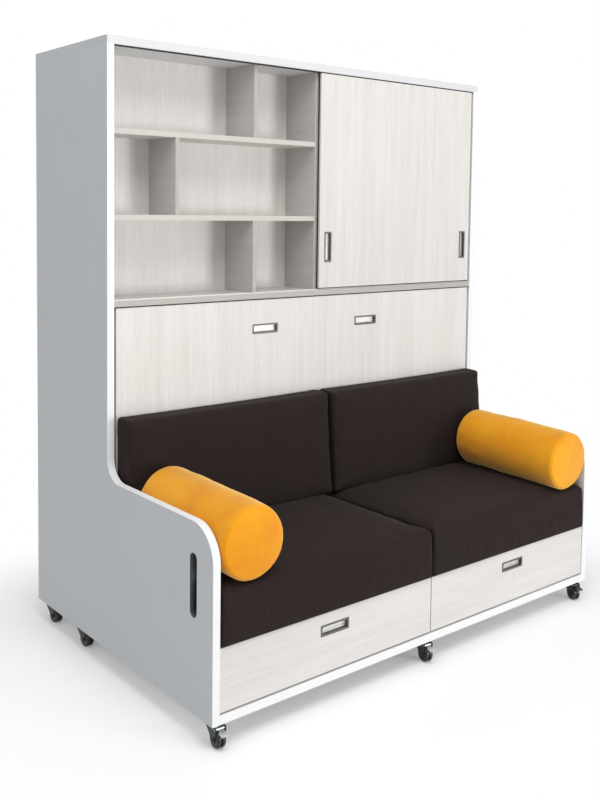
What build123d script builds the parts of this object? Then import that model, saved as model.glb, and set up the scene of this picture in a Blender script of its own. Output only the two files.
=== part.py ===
from build123d import *
import os
from math import cos, pi, radians, sin, sqrt, tan

# A sofa with arms stands in front of a tall cabinet, on seven swivel casters.
# A bunk tilts out of the cabinet above the sofa, about pins at its two ends.
# Above it are open shelves, and a cupboard whose door slides across the shelves.
# Two drawers run under the seat. Loose cushions and two bolsters make the sofa soft.
# The origin is on the floor under the middle. X runs along the sofa, the sofa faces -Y, Z is up.

# Driving sizes of the carcass, in millimetres
overall_width = 2000.0
carcass_height = 2240.0
cabinet_depth = 598.0
sofa_depth = 685.0
side_thickness = 28.0
top_thickness = 30.0
bottom_thickness = 30.0
rear_panel_thickness = 8.0
arm_height = 635.0
arm_front_radius = 120.0
arm_rear_radius = 80.0
hand_slot_length = 212.0
hand_slot_width = 40.0
hand_slot_setback = 112.0
hand_slot_drop = 210.0

# Shelf bay
shelf_board_height = 1267.0
shelf_board_thickness = 22.0
shelf_thickness = 20.0
shelf_setback = 25.0
shelf_bay_depth = 222.0
shelf_back_thickness = 8.0
partition_thickness = 18.0
divider_thickness = 18.0
outer_divider_share = 0.675
middle_divider_share = 0.293

# Sliding door
door_thickness = 18.0
door_setback = 4.0
door_end_gap = 10.0
door_height_gap = 5.0
door_overlap = 4.0
door_pull_inset = 48.0
door_pull_rise = 178.0
glide_length = 40.0
glide_width = 11.0
glide_depth = 14.0
glide_inset = 90.0
glide_gap = 0.4
track_rib_width = 3.0
track_rib_height = 4.0
track_base_width = 14.0
track_base_thickness = 1.2
guide_pin_radius = 4.0
guide_pin_length = 18.0
guide_wall = 1.2
guide_depth = 4.2

# Bunk that tilts out of the cabinet
bunk_setback = 4.0
bunk_panel_thickness = 18.0
bunk_end_gap = 10.0
bunk_top_gap = 5.0
bunk_bottom_gap = 6.0
bunk_tilt_gap = 10.0
frame_end_gap = 22.0
frame_edge_inset = 18.0
frame_depth = 25.0
frame_wall = 3.0
frame_flange = 28.0
slat_count = 13
slat_width = 62.0
slat_end_inset = 70.0
slat_fit = 1.0
mattress_end_inset = 10.0
mattress_side_inset = 6.0
mattress_thickness = 88.0
mattress_crown = 4.0
mattress_edge_radius = 18.0
bunk_pull_offset = 280.0
bunk_pull_drop = 118.0
pivot_pin_radius = 7.0
pivot_boss_radius = 12.0
pivot_fit = 0.05
pivot_head_radius = 9.0
pivot_head_thickness = 4.0
pivot_end_gap = 1.0
bracket_thickness = 4.0
bracket_width = 46.0
bracket_height = 110.0
bracket_screw_radius = 2.5
bracket_screw_spread = 84.0
stop_length = 36.0
stop_height = 30.0
stop_lap = 9.0
stop_gap = 0.4
closed_stop_share = 0.8
open_stop_inset = 90.0

# Seat base with its two drawers
seat_rail_height = 430.0
seat_rail_thickness = 18.0
seat_deck_height = 248.0
seat_deck_thickness = 18.0
drawer_front_thickness = 18.0
drawer_front_setback = 4.0
drawer_front_gap = 4.0
drawer_lower_gap = 6.0
drawer_upper_gap = 2.0
drawer_pull_drop = 60.0
drawer_box_head_gap = 43.0
drawer_box_lift = 12.0
drawer_box_rear_gap = 87.0
drawer_wall = 12.0
drawer_bottom_thickness = 5.0
drawer_clearance = 1.0
slide_width = 12.7
slide_height = 36.0
slide_wall = 1.4
slide_inset = 14.0
slide_rear_inset = 16.0
slide_gap = 0.5
slide_tongue = 12.0

# Flush pulls, with a pocket in the board behind each
pull_length = 130.0
pull_width = 40.0
pull_border = 7.0
pull_cup_depth = 12.0
pull_cup_wall = 1.0
pull_plate_thickness = 1.2
pull_corner_radius = 3.0
pull_floor_radius = 4.0
pull_fit = 0.2

# Cushions and bolsters
cushion_gap = 3.0
cushion_arm_gap = 5.0
cushion_seat_gap = 0.4
cushion_side_bulge = 0.6
end_crown_share = 0.5
fullness_power = 0.25
end_section_count = 3
span_count = 8
seat_cushion_edge = 170.0
seat_cushion_overhang = 16.0
seat_cushion_crown = 28.0
seat_cushion_draw = 5.0
seat_cushion_droop = 12.0
seat_split_droop = 2.0
droop_power = 10
seat_edge_radius = 24.0
back_cushion_top = 868.0
back_cushion_thickness = 101.5
back_cushion_wedge = 42.0
back_cushion_crown = 8.0
back_cushion_draw = 5.0
back_cushion_droop = 7.0
back_edge_radius = 18.0
bolster_radius = 128.0
bolster_end_radius = 124.0
bolster_rear_gap = 45.1
bolster_overhang = 16.0
bolster_cap_crown = 9.0
bolster_edge_radius = 12.0
bolster_arm_gap = 0.4
bolster_drop = 4.9
bolster_tilt = 1.6

# Casters
wheel_head_gap = 13.6
caster_plate_size = 60.0
caster_plate_thickness = 3.0
caster_race_radius = 22.0
caster_race_thickness = 3.0
caster_swivel_gap = 0.4
kingpin_radius = 5.0
kingpin_fit = 0.05
fork_head_thickness = 4.0
fork_wall = 2.5
fork_trail = 25.0
fork_reach = 20.0
fork_foot_radius = 11.0
wheel_radius = 30.0
wheel_width = 32.0
wheel_side_gap = 1.0
wheel_edge_radius = 7.0
tread_gap_width = 6.0
tread_gap_depth = 8.0
wheel_hub_radius = 16.0
wheel_dish_depth = 3.0
axle_radius = 4.0
axle_fit = 0.05
axle_nut_radius = 6.5
axle_nut_thickness = 3.5
caster_side_inset = 40.0
caster_front_inset = 48.0
caster_rear_inset = 53.0
caster_middle_setback = 268.0
heading_front_left = -95.0
heading_front_middle = -100.0
heading_front_right = -110.0
heading_middle_left = -88.0
heading_middle_right = -93.0
heading_rear_left = -86.0
heading_rear_right = -83.0
plate_screw_radius = 2.2
plate_screw_spread = 46.0
pedal_hinge_reach = 36.0
pedal_hinge_rise = 6.0
pedal_hinge_radius = 2.5
pedal_length = 40.0
pedal_width = 28.0
pedal_neck_width = 20.0
pedal_thickness = 2.4
pedal_neck_share = 0.45
pedal_slope = 13.0
pedal_side_gap = 0.6
fork_web_share = 0.6

cut_overrun = 5.0

# Places that follow from the sizes
fork_head_low = 2 * wheel_radius + wheel_head_gap
fork_head_high = fork_head_low + fork_head_thickness
caster_height = fork_head_high + caster_swivel_gap + caster_race_thickness + caster_plate_thickness
pedal_hinge_height = 2 * wheel_radius + pedal_hinge_rise
base_z = caster_height
pedal_tip_reach = (pedal_hinge_reach + pedal_length * cos(radians(pedal_slope))
                   + pedal_thickness / 2 * sin(radians(pedal_slope)))
pedal_overhang = (pedal_width / 2 * abs(cos(radians(heading_front_middle)))
                  - pedal_tip_reach * sin(radians(heading_front_middle)) - caster_front_inset)
sofa_front_y = pedal_overhang - (pedal_overhang + sofa_depth + cabinet_depth) / 2
cabinet_front_y = sofa_front_y + sofa_depth
rear_y = cabinet_front_y + cabinet_depth
inner_x = overall_width / 2 - side_thickness
floor_board_z = base_z + bottom_thickness
top_board_z = base_z + carcass_height - top_thickness
shelf_board_z = base_z + shelf_board_height
shelf_bay_z = shelf_board_z + shelf_board_thickness
divider_shares = [outer_divider_share, middle_divider_share, outer_divider_share]
row_count = len(divider_shares)
row_height = (top_board_z - shelf_bay_z - (row_count - 1) * shelf_thickness) / row_count
shelf_front_y = cabinet_front_y + shelf_setback
shelf_back_y = cabinet_front_y + shelf_bay_depth
inner_rear_y = rear_y - rear_panel_thickness
deck_z = base_z + seat_deck_height
seat_rail_y = cabinet_front_y + bunk_setback
drawer_face_y = sofa_front_y + drawer_front_setback
drawer_low_z = floor_board_z + drawer_lower_gap
drawer_high_z = deck_z - drawer_upper_gap
drawer_box_front_y = drawer_face_y + drawer_front_thickness
drawer_box_rear_y = seat_rail_y - drawer_box_rear_gap
drawer_box_low_z = floor_board_z + drawer_box_lift
drawer_box_high_z = deck_z - seat_deck_thickness - drawer_box_head_gap
deck_front_y = drawer_face_y + drawer_front_thickness + drawer_clearance
seat_crown_z = deck_z + seat_cushion_edge + seat_cushion_crown
bunk_face_y = cabinet_front_y + bunk_setback
frame_y = bunk_face_y + bunk_panel_thickness
back_rear_y = bunk_face_y - cushion_seat_gap
back_front_y = back_rear_y - back_cushion_thickness
back_foot_y = back_front_y - back_cushion_wedge
bolster_y = sofa_front_y - bolster_overhang
bolster_length = back_front_y - bolster_rear_gap - bolster_y
bunk_panel_low_z = base_z + seat_rail_height + bunk_bottom_gap
bunk_panel_high_z = shelf_board_z - bunk_top_gap
bunk_middle_z = (bunk_panel_low_z + bunk_panel_high_z) / 2
bunk_half_length = inner_x - bunk_end_gap
frame_length = 2 * (inner_x - frame_end_gap)
frame_width = bunk_panel_high_z - bunk_panel_low_z - 2 * frame_edge_inset
mattress_length = frame_length - 2 * mattress_end_inset
mattress_width = frame_width - 2 * mattress_side_inset
pivot_y = frame_y + frame_depth / 2
pivot_z = base_z + back_cushion_top + bunk_tilt_gap + pivot_y - bunk_face_y


def block(low, high):
    """A box between two opposite corners."""
    size = [b - a for a, b in zip(low, high)]
    middle = [(a + b) / 2 for a, b in zip(low, high)]
    return Pos(*middle) * Box(*size)


def rod(start, end, radius):
    """A round bar between two points on a line along one of the axes."""
    run = Vector(*end) - Vector(*start)
    plane = Plane(origin=start, z_dir=run.normalized())
    return extrude(plane * Circle(radius), run.length)


def mirrored(shape):
    """The same shape on the other side of the middle plane."""
    return mirror(shape, about=Plane.YZ)


def write(name, *shapes):
    """Saves one node as a STEP file, with each shape as a solid of its own."""
    solids = [solid for shape in shapes for solid in shape.solids()]
    shape = solids[0] if len(solids) == 1 else Compound(children=solids)
    shape.label = name
    export_step(shape, os.path.join("parts", name + ".step"))


def side_panel():
    """The left side: cabinet wall and arm rest in one board, with a hand slot through the arm."""
    arm_z = base_z + arm_height
    front_arc_y = sofa_front_y + arm_front_radius
    rear_arc_y = cabinet_front_y - arm_rear_radius
    tangent = sqrt(0.5)
    front_mid = (front_arc_y - arm_front_radius * tangent, arm_z - arm_front_radius * (1 - tangent))
    rear_mid = (rear_arc_y + arm_rear_radius * tangent, arm_z + arm_rear_radius * (1 - tangent))
    outline = (
        Line((sofa_front_y, base_z), (rear_y, base_z))
        + Line((rear_y, base_z), (rear_y, top_board_z))
        + Line((rear_y, top_board_z), (cabinet_front_y, top_board_z))
        + Line((cabinet_front_y, top_board_z), (cabinet_front_y, arm_z + arm_rear_radius))
        + ThreePointArc((cabinet_front_y, arm_z + arm_rear_radius), rear_mid, (rear_arc_y, arm_z))
        + Line((rear_arc_y, arm_z), (front_arc_y, arm_z))
        + ThreePointArc((front_arc_y, arm_z), front_mid, (sofa_front_y, arm_z - arm_front_radius))
        + Line((sofa_front_y, arm_z - arm_front_radius), (sofa_front_y, base_z))
    )
    board = extrude(Plane.YZ * make_face(outline), side_thickness)
    slot_y = sofa_front_y + hand_slot_setback
    slot = SlotOverall(hand_slot_length, hand_slot_width, rotation=90)
    cutter = extrude(Plane.YZ * Pos(slot_y, arm_z - hand_slot_drop) * slot, side_thickness)
    return Pos(-overall_width / 2, 0, 0) * (board - cutter)


def flush_pull(upright=False):
    """A shallow metal cup with a narrow border, facing -Y, its border's back on the plane y = 0."""
    plate = Plane.XZ * RectangleRounded(pull_length, pull_width, pull_corner_radius)
    opening = Plane.XZ * RectangleRounded(
        pull_length - 2 * pull_border, pull_width - 2 * pull_border, pull_floor_radius)
    shell = Plane.XZ * RectangleRounded(
        pull_length - 2 * pull_border + 2 * pull_cup_wall,
        pull_width - 2 * pull_border + 2 * pull_cup_wall,
        pull_floor_radius + pull_cup_wall)
    cup = extrude(plate, pull_plate_thickness) + extrude(shell, -pull_cup_depth - pull_cup_wall)
    hollow = extrude(opening, pull_plate_thickness) + extrude(opening, -pull_cup_depth)
    hollow = fillet(hollow.faces().sort_by(Axis.Y)[-1].edges(), pull_floor_radius / 2)
    pull = cup - hollow
    return Rot(0, 90, 0) * pull if upright else pull


def pull_pocket(upright=False):
    """The pocket that a board needs for the cup of a flush pull."""
    reach = pull_cup_wall + pull_fit
    outline = Plane.XZ * RectangleRounded(
        pull_length - 2 * pull_border + 2 * reach,
        pull_width - 2 * pull_border + 2 * reach,
        pull_floor_radius + reach)
    pocket = extrude(outline, -pull_cup_depth - reach) + extrude(outline, cut_overrun)
    return Rot(0, 90, 0) * pocket if upright else pocket


def with_pulls(board, places, upright=False):
    """The board with a pocket at each place, and a flush pull in each pocket."""
    for place in places:
        board = board - Pos(*place) * pull_pocket(upright)
    return board, [Pos(*place) * flush_pull(upright) for place in places]


def write_carcass():
    """Sides, top, bottom and rear, the board under the shelves and the wall behind them."""
    side = side_panel()
    write("side_panel_left", side)
    write("side_panel_right", mirrored(side))
    half = overall_width / 2
    write("top_panel", block((-half, cabinet_front_y, top_board_z),
                             (half, rear_y, top_board_z + top_thickness)))
    write("bottom_panel", block((-inner_x, sofa_front_y, base_z), (inner_x, rear_y, floor_board_z)))
    write("rear_panel", block((-inner_x, inner_rear_y, floor_board_z), (inner_x, rear_y, top_board_z)))
    write("shelf_board", block((-inner_x, cabinet_front_y, shelf_board_z),
                               (inner_x, inner_rear_y, shelf_bay_z)))
    write("shelf_back_panel", block((-inner_x, shelf_back_y, shelf_bay_z),
                                    (inner_x, shelf_back_y + shelf_back_thickness, top_board_z)))


def shelf_level(row):
    """Underside of the shelf over the given row, counted from 0 at the bottom."""
    return shelf_bay_z + (row + 1) * row_height + row * shelf_thickness


def write_shelves():
    """The partition, the shelves on both sides of it and one divider in each open row."""
    half_partition = partition_thickness / 2
    write("centre_partition", block((-half_partition, shelf_front_y, shelf_bay_z),
                                    (half_partition, shelf_back_y, top_board_z)))
    names = ["lower_shelf", "upper_shelf"]
    cupboard = []
    for row, name in enumerate(names):
        z = shelf_level(row)
        shelf = block((-inner_x, shelf_front_y, z), (-half_partition, shelf_back_y, z + shelf_thickness))
        write(name, shelf)
        cupboard.append(mirrored(shelf))
    write("cupboard_shelves", *cupboard)
    open_width = inner_x - half_partition
    dividers = []
    for row, share in enumerate(divider_shares):
        x = -inner_x + share * open_width
        z = shelf_bay_z + row * (row_height + shelf_thickness)
        dividers.append(block((x - divider_thickness / 2, shelf_front_y, z),
                              (x + divider_thickness / 2, shelf_back_y, z + row_height)))
    write("row_dividers", *dividers)


def write_sliding_door():
    """The door over the right half, its two pulls, its glides and the tracks they run on."""
    left = partition_thickness / 2 - door_overlap
    right = inner_x - door_end_gap
    low = shelf_bay_z + door_height_gap
    high = top_board_z - door_height_gap
    face_y = cabinet_front_y + door_setback
    middle_y = face_y + door_thickness / 2
    door = block((left, face_y, low), (right, face_y + door_thickness, high))
    pull_z = low + door_pull_rise
    places = [(left + door_pull_inset, face_y, pull_z), (right - door_pull_inset, face_y, pull_z)]
    door, pulls = with_pulls(door, places, upright=True)
    rib_top = shelf_bay_z + track_rib_height
    glides = []
    for x in (left + glide_inset, right - glide_inset):
        half_length, half_width = glide_length / 2, glide_width / 2
        pocket = block((x - half_length, middle_y - half_width, low),
                       (x + half_length, middle_y + half_width, low + glide_depth))
        door = door - pocket
        slot = track_rib_width / 2 + glide_gap
        shoe = block((x - half_length, middle_y - half_width, low - door_height_gap / 2),
                     (x + half_length, middle_y + half_width, low + glide_depth))
        glides.append(shoe - block((x - glide_length, middle_y - slot, shelf_bay_z),
                                   (x + glide_length, middle_y + slot, rib_top + glide_gap)))
        pin_low, pin_high = high - guide_pin_length, top_board_z - guide_wall - glide_gap
        door = door - rod((x, middle_y, pin_low), (x, middle_y, high), guide_pin_radius)
        glides.append(rod((x, middle_y, pin_low), (x, middle_y, pin_high), guide_pin_radius))
    write("sliding_door", door)
    write("sliding_door_pulls", *pulls)
    write("sliding_door_glides", *glides)
    half_rib = track_rib_width / 2
    half_base = track_base_width / 2
    rail = block((-inner_x, middle_y - half_rib, shelf_bay_z), (inner_x, middle_y + half_rib, rib_top))
    rail = rail + block((-inner_x, middle_y - half_base, shelf_bay_z),
                        (inner_x, middle_y + half_base, shelf_bay_z + track_base_thickness))
    half_channel = guide_pin_radius + glide_gap
    channel = block((-inner_x, middle_y - half_channel - guide_wall, top_board_z - guide_depth),
                    (inner_x, middle_y + half_channel + guide_wall, top_board_z))
    channel = channel - block((-overall_width, middle_y - half_channel, top_board_z - guide_depth),
                              (overall_width, middle_y + half_channel, top_board_z - guide_wall))
    write("sliding_door_tracks", rail, channel)


def rounded_section(low_u, high_u, low_v, high_v, crown, bulge, radius, wedge):
    """A cross-section with a flat foot, four rounded corners, bowed sides and a crowned top.

    The top stands wedge higher at its low end than at its high end.
    """
    middle_u, middle_v = (low_u + high_u) / 2, (low_v + high_v) / 2
    tangent = radius * (1 - sqrt(0.5))
    top_v = high_v + wedge
    outline = (
        Line((low_u + radius, low_v), (high_u - radius, low_v))
        + ThreePointArc((high_u - radius, low_v), (high_u - tangent, low_v + tangent),
                        (high_u, low_v + radius))
        + ThreePointArc((high_u, low_v + radius), (high_u + bulge, middle_v), (high_u, high_v - radius))
        + ThreePointArc((high_u, high_v - radius), (high_u - tangent, high_v - tangent),
                        (high_u - radius, high_v))
        + ThreePointArc((high_u - radius, high_v), (middle_u, (high_v + top_v) / 2 + crown),
                        (low_u + radius, top_v))
        + ThreePointArc((low_u + radius, top_v), (low_u + tangent, top_v - tangent),
                        (low_u, top_v - radius))
        + ThreePointArc((low_u, top_v - radius), (low_u - bulge, (low_v + top_v) / 2),
                        (low_u, low_v + radius))
        + ThreePointArc((low_u, low_v + radius), (low_u + tangent, low_v + tangent),
                        (low_u + radius, low_v))
    )
    return make_face(outline)


def pillow_between(left, right, radius, section_at):
    """A soft form from left to right whose ends round over, ruled from section to section.

    section_at takes how far a section is drawn in all round, and its share of the way from
    left to right.
    """
    length = right - left
    end_turns = [pi / 2 * step / end_section_count for step in range(end_section_count)]
    stations = [(left + radius * (1 - cos(turn)), radius * (1 - sin(turn))) for turn in end_turns]
    inner = length - 2 * radius
    stations += [(left + radius + inner * step / span_count, 0) for step in range(span_count + 1)]
    stations += [(left + right - x, inset) for x, inset in reversed(stations[:end_section_count])]
    faces = [Plane.YZ.offset(x) * section_at(inset, (x - left) / length) for x, inset in stations]
    return loft(faces, ruled=True)


def fullness(share):
    """How full a cushion is at a share of its length: 0 at its ends, 1 in the middle."""
    return max(0, sin(pi * share)) ** fullness_power


def arc_height(chord_offset, half_chord, crown):
    """Height of a shallow arc over its chord, at an offset from the chord's middle."""
    arc_radius = (half_chord ** 2 + crown ** 2) / (2 * crown)
    return crown - arc_radius + sqrt(arc_radius ** 2 - chord_offset ** 2)


def write_bunk():
    """Panel, frame, slats and mattress, which tilt together, with the pins they turn on."""
    panel = block((-bunk_half_length, bunk_face_y, bunk_panel_low_z),
                  (bunk_half_length, frame_y, bunk_panel_high_z))
    pull_z = bunk_panel_high_z - bunk_pull_drop
    places = [(side * bunk_pull_offset, bunk_face_y, pull_z) for side in (-1, 1)]
    panel, pulls = with_pulls(panel, places)
    write("bunk_panel", panel)
    write("bunk_pulls", *pulls)

    half_length, half_width = frame_length / 2, frame_width / 2
    low, high = bunk_middle_z - half_width, bunk_middle_z + half_width
    rear = frame_y + frame_depth
    frame = block((-half_length, frame_y, low), (half_length, rear, high))
    frame = frame - block((-half_length + frame_wall, frame_y + frame_wall, low + frame_wall),
                          (half_length - frame_wall, rear, high - frame_wall))
    frame = frame - block((-half_length + frame_flange, frame_y, low + frame_flange),
                          (half_length - frame_flange, rear, high - frame_flange))
    pins, brackets = [], []
    for side in (-1, 1):
        hole = rod((side * (half_length - frame_flange), pivot_y, pivot_z),
                   (side * (half_length + cut_overrun), pivot_y, pivot_z), pivot_pin_radius)
        frame = frame - hole
        head_x = half_length - frame_wall
        pin = rod((side * head_x, pivot_y, pivot_z),
                  (side * (inner_x - bracket_thickness - pivot_end_gap), pivot_y, pivot_z),
                  pivot_pin_radius)
        pin = pin + rod((side * (head_x - pivot_head_thickness), pivot_y, pivot_z),
                        (side * head_x, pivot_y, pivot_z), pivot_head_radius)
        pins.append(pin)
        brackets.append(pivot_bracket(side))
    write("bunk_frame", frame)
    write("bunk_pivot_pins", *pins)
    write("bunk_pivot_brackets", *brackets)

    slat_low, slat_high = low + frame_wall + slat_fit, high - frame_wall - slat_fit
    first = -half_length + slat_end_inset + slat_width / 2
    pitch = -2 * first / (slat_count - 1)
    slats = [block((first + i * pitch - slat_width / 2, frame_y + frame_wall, slat_low),
                   (first + i * pitch + slat_width / 2, rear, slat_high)) for i in range(slat_count)]
    write("bunk_slats", *slats)

    foot = rear + cushion_seat_gap

    def mattress_section(inset, share):
        """A slab on its edge: its crowned face looks back and its flat foot lies on the slats."""
        reach = mattress_width / 2 - inset
        crown = mattress_crown * (end_crown_share + (1 - end_crown_share) * fullness(share))
        face = rounded_section(-reach, reach, inset, mattress_thickness - inset,
                               crown, cushion_side_bulge, mattress_edge_radius, 0)
        return Pos(foot, bunk_middle_z) * Rot(0, 0, -90) * face

    write("bunk_mattress", pillow_between(-mattress_length / 2, mattress_length / 2,
                                          mattress_edge_radius, mattress_section))
    write_bunk_stops()


def pivot_bracket(side):
    """A screwed plate on the side panel with a bored boss that carries one pivot pin."""
    wall_x = side * inner_x
    plate_x = side * (inner_x - bracket_thickness)
    half_width, half_height = bracket_width / 2, bracket_height / 2
    plate_low_y = pivot_y - pivot_boss_radius
    plate = block((min(wall_x, plate_x), plate_low_y, pivot_z - half_height),
                  (max(wall_x, plate_x), plate_low_y + 2 * half_width, pivot_z + half_height))
    boss_x = side * (frame_length / 2 + 2 * pivot_end_gap)
    bracket = plate + rod((plate_x, pivot_y, pivot_z), (boss_x, pivot_y, pivot_z), pivot_boss_radius)
    bracket = bracket - rod((boss_x, pivot_y, pivot_z), (plate_x, pivot_y, pivot_z),
                            pivot_pin_radius + pivot_fit)
    for offset in (-bracket_screw_spread / 2, bracket_screw_spread / 2):
        centre = (pivot_y, pivot_z + offset)
        bracket = bracket - rod((plate_x, *centre), (wall_x, *centre), bracket_screw_radius)
    return bracket


def write_bunk_stops():
    """Blocks on the side panels: a pair behind the closed panel, a pair over the open one."""
    outer = inner_x
    inner = inner_x - bunk_end_gap - stop_lap
    bracket_high = pivot_z + bracket_height / 2
    closed_high = bracket_high + closed_stop_share * (bunk_panel_high_z - bracket_high)
    closed = block((inner, frame_y + stop_gap, closed_high - stop_length),
                   (outer, frame_y + stop_gap + stop_height, closed_high))
    panel_back_z = pivot_z - (pivot_y - frame_y)
    open_far_y = pivot_y + (pivot_z - bunk_panel_low_z) - open_stop_inset
    opened = block((inner, open_far_y - stop_length, panel_back_z + stop_gap),
                   (outer, open_far_y, panel_back_z + stop_gap + stop_height))
    write("bunk_stops", closed, opened, mirrored(closed), mirrored(opened))


def write_seat_base():
    """The rail behind the seat, the deck under it and the partition between the drawers."""
    write("seat_rail", block((-inner_x, seat_rail_y, floor_board_z),
                             (inner_x, seat_rail_y + seat_rail_thickness, base_z + seat_rail_height)))
    write("seat_deck", block((-inner_x, deck_front_y, deck_z - seat_deck_thickness),
                             (inner_x, seat_rail_y, deck_z)))
    half = partition_thickness / 2
    write("drawer_partition", block((-half, deck_front_y, floor_board_z),
                                    (half, seat_rail_y, deck_z - seat_deck_thickness)))


def drawer_slide_places():
    """X of the two walls that carry the slides of the left drawer, and the way into the bay."""
    return [(-inner_x, 1), (-partition_thickness / 2, -1)]


def write_drawers():
    """Two drawers, each a front, a box of boards, a pull and the sliding halves of its runners."""
    left = -inner_x + drawer_front_gap / 2
    right = -drawer_front_gap / 2
    front = block((left, drawer_face_y, drawer_low_z), (right, drawer_box_front_y, drawer_high_z))
    pull_place = ((left + right) / 2, drawer_face_y, drawer_high_z - drawer_pull_drop)
    front, pulls = with_pulls(front, [pull_place])

    box_low, box_high = drawer_box_low_z, drawer_box_high_z
    box_front, box_rear = drawer_box_front_y, drawer_box_rear_y
    box_left = -inner_x + slide_width
    box_right = -partition_thickness / 2 - slide_width
    inner_left, inner_right = box_left + drawer_wall, box_right - drawer_wall
    floor_z = box_low + drawer_bottom_thickness
    boards = [
        block((box_left, box_front, box_low), (inner_left, box_rear, box_high)),
        block((inner_right, box_front, box_low), (box_right, box_rear, box_high)),
        block((inner_left, box_front, box_low), (inner_right, box_rear, floor_z)),
        block((inner_left, box_front, floor_z), (inner_right, box_front + drawer_wall, box_high)),
        block((inner_left, box_rear - drawer_wall, floor_z), (inner_right, box_rear, box_high)),
    ]

    slide_z = (box_low + box_high) / 2
    slide_front = box_front + slide_inset
    slide_length = box_rear - slide_rear_inset - slide_front
    half = slide_height / 2
    channels, tongues = [], []
    for wall_x, way in drawer_slide_places():
        far_x = wall_x + way * slide_width
        web_x = wall_x + way * slide_wall
        lip_x = wall_x + way * (slide_width - slide_gap - slide_wall - slide_gap)
        channel = block(*box_corners(wall_x, lip_x, slide_front, slide_length, slide_z, half))
        hollow = block(*box_corners(web_x, lip_x, slide_front, slide_length, slide_z, half - slide_wall))
        channels.append(channel - hollow)
        plate_x = far_x - way * slide_wall
        tongue_x = web_x + way * slide_gap
        plate = block(*box_corners(plate_x, far_x, slide_front, slide_length, slide_z, half - slide_wall))
        tongue = block(*box_corners(tongue_x, plate_x, slide_front, slide_length, slide_z,
                                    slide_tongue / 2))
        tongues.append(plate + tongue)

    for name, turn in (("left", lambda shape: shape), ("right", mirrored)):
        write("drawer_front_" + name, turn(front))
        write("drawer_box_" + name, *[turn(board) for board in boards])
        write("drawer_pull_" + name, *[turn(pull) for pull in pulls])
        write("drawer_slides_" + name, *[turn(tongue) for tongue in tongues])
    write("drawer_runners", *channels, *[mirrored(channel) for channel in channels])


def box_corners(x_one, x_two, front_y, length, middle_z, half_height):
    """Two corners of a bar that runs back from front_y."""
    return ((min(x_one, x_two), front_y, middle_z - half_height),
            (max(x_one, x_two), front_y + length, middle_z + half_height))


def write_cushions():
    """Two seat cushions, two back cushions and two bolsters."""
    left = -inner_x + cushion_arm_gap
    right = -cushion_gap / 2
    seat_front = drawer_face_y - seat_cushion_overhang + cushion_side_bulge
    seat_rear = bunk_face_y - cushion_seat_gap - cushion_side_bulge

    def seat_section(inset, share):
        """From front to rear: flat foot, a front that draws in at mid-length and a crowned top.

        The front stands out over the drawers, which slide in and out under it.
        """
        full = fullness(share)
        droop = seat_cushion_droop * (1 - share) ** droop_power + seat_split_droop * share ** droop_power
        crown = seat_cushion_crown * (end_crown_share + (1 - end_crown_share) * full)
        return rounded_section(
            seat_front + seat_cushion_draw * full + inset, seat_rear - inset, deck_z + inset,
            deck_z + seat_cushion_edge - droop - inset, crown, cushion_side_bulge, seat_edge_radius, 0)

    seat = pillow_between(left, right, seat_edge_radius, seat_section)
    write("seat_cushion_left", seat)
    write("seat_cushion_right", mirrored(seat))

    half_chord = (seat_rear - seat_front) / 2 - seat_edge_radius
    offset = back_foot_y - (seat_front + seat_rear) / 2
    back_foot = (deck_z + seat_cushion_edge + cushion_seat_gap
                 + arc_height(offset, half_chord, seat_cushion_crown))
    back_top = base_z + back_cushion_top

    def back_section(inset, share):
        """On its edge: its flat foot is against the bunk's panel and its crowned face looks forward.

        It is a wedge, thicker low down, so that the face leans back.
        """
        full = fullness(share)
        low = back_foot + inset
        high = back_top - back_cushion_draw * (1 - full) - inset
        droop = back_cushion_droop * (1 - full)
        crown = back_cushion_crown * (end_crown_share + (1 - end_crown_share) * full)
        face = rounded_section(low, high, inset,
                               back_cushion_thickness - back_cushion_crown - droop - inset,
                               crown, cushion_side_bulge, back_edge_radius, back_cushion_wedge)
        return Pos(back_rear_y, 0) * Rot(0, 0, 90) * face

    back = pillow_between(left, right, back_edge_radius, back_section)
    write("back_cushion_left", back)
    write("back_cushion_right", mirrored(back))

    bolster_x = -inner_x + bolster_arm_gap + bolster_radius
    rise = tan(radians(bolster_tilt)) * ((seat_front + seat_rear) / 2 - bolster_y)
    bolster_z = seat_crown_z - bolster_drop + bolster_radius - rise
    bolster = Pos(bolster_x, bolster_y, bolster_z) * Rot(bolster_tilt - 90, 0, 0) * bolster_form()
    write("bolster_left", bolster)
    write("bolster_right", mirrored(bolster))


def bolster_form():
    """A round bolster along +Z, slightly fuller in the middle, with softly domed ends."""
    rim = bolster_end_radius - bolster_edge_radius
    turn = bolster_edge_radius * (1 - sqrt(0.5))
    top = bolster_length
    cap = bolster_cap_crown
    edge = bolster_edge_radius
    mid = cap - arc_height(rim / 2, rim, cap)
    profile = (
        Line((0, 0), (0, top))
        + ThreePointArc((0, top), (rim / 2, top - mid), (rim, top - cap))
        + ThreePointArc((rim, top - cap), (bolster_end_radius - turn, top - cap - turn),
                        (bolster_end_radius, top - cap - edge))
        + ThreePointArc((bolster_end_radius, top - cap - edge), (bolster_radius, top / 2),
                        (bolster_end_radius, cap + edge))
        + ThreePointArc((bolster_end_radius, cap + edge), (bolster_end_radius - turn, cap + turn),
                        (rim, cap))
        + ThreePointArc((rim, cap), (rim / 2, mid), (0, 0))
    )
    return revolve(Plane.XZ * make_face(profile), Axis.Z)


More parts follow.
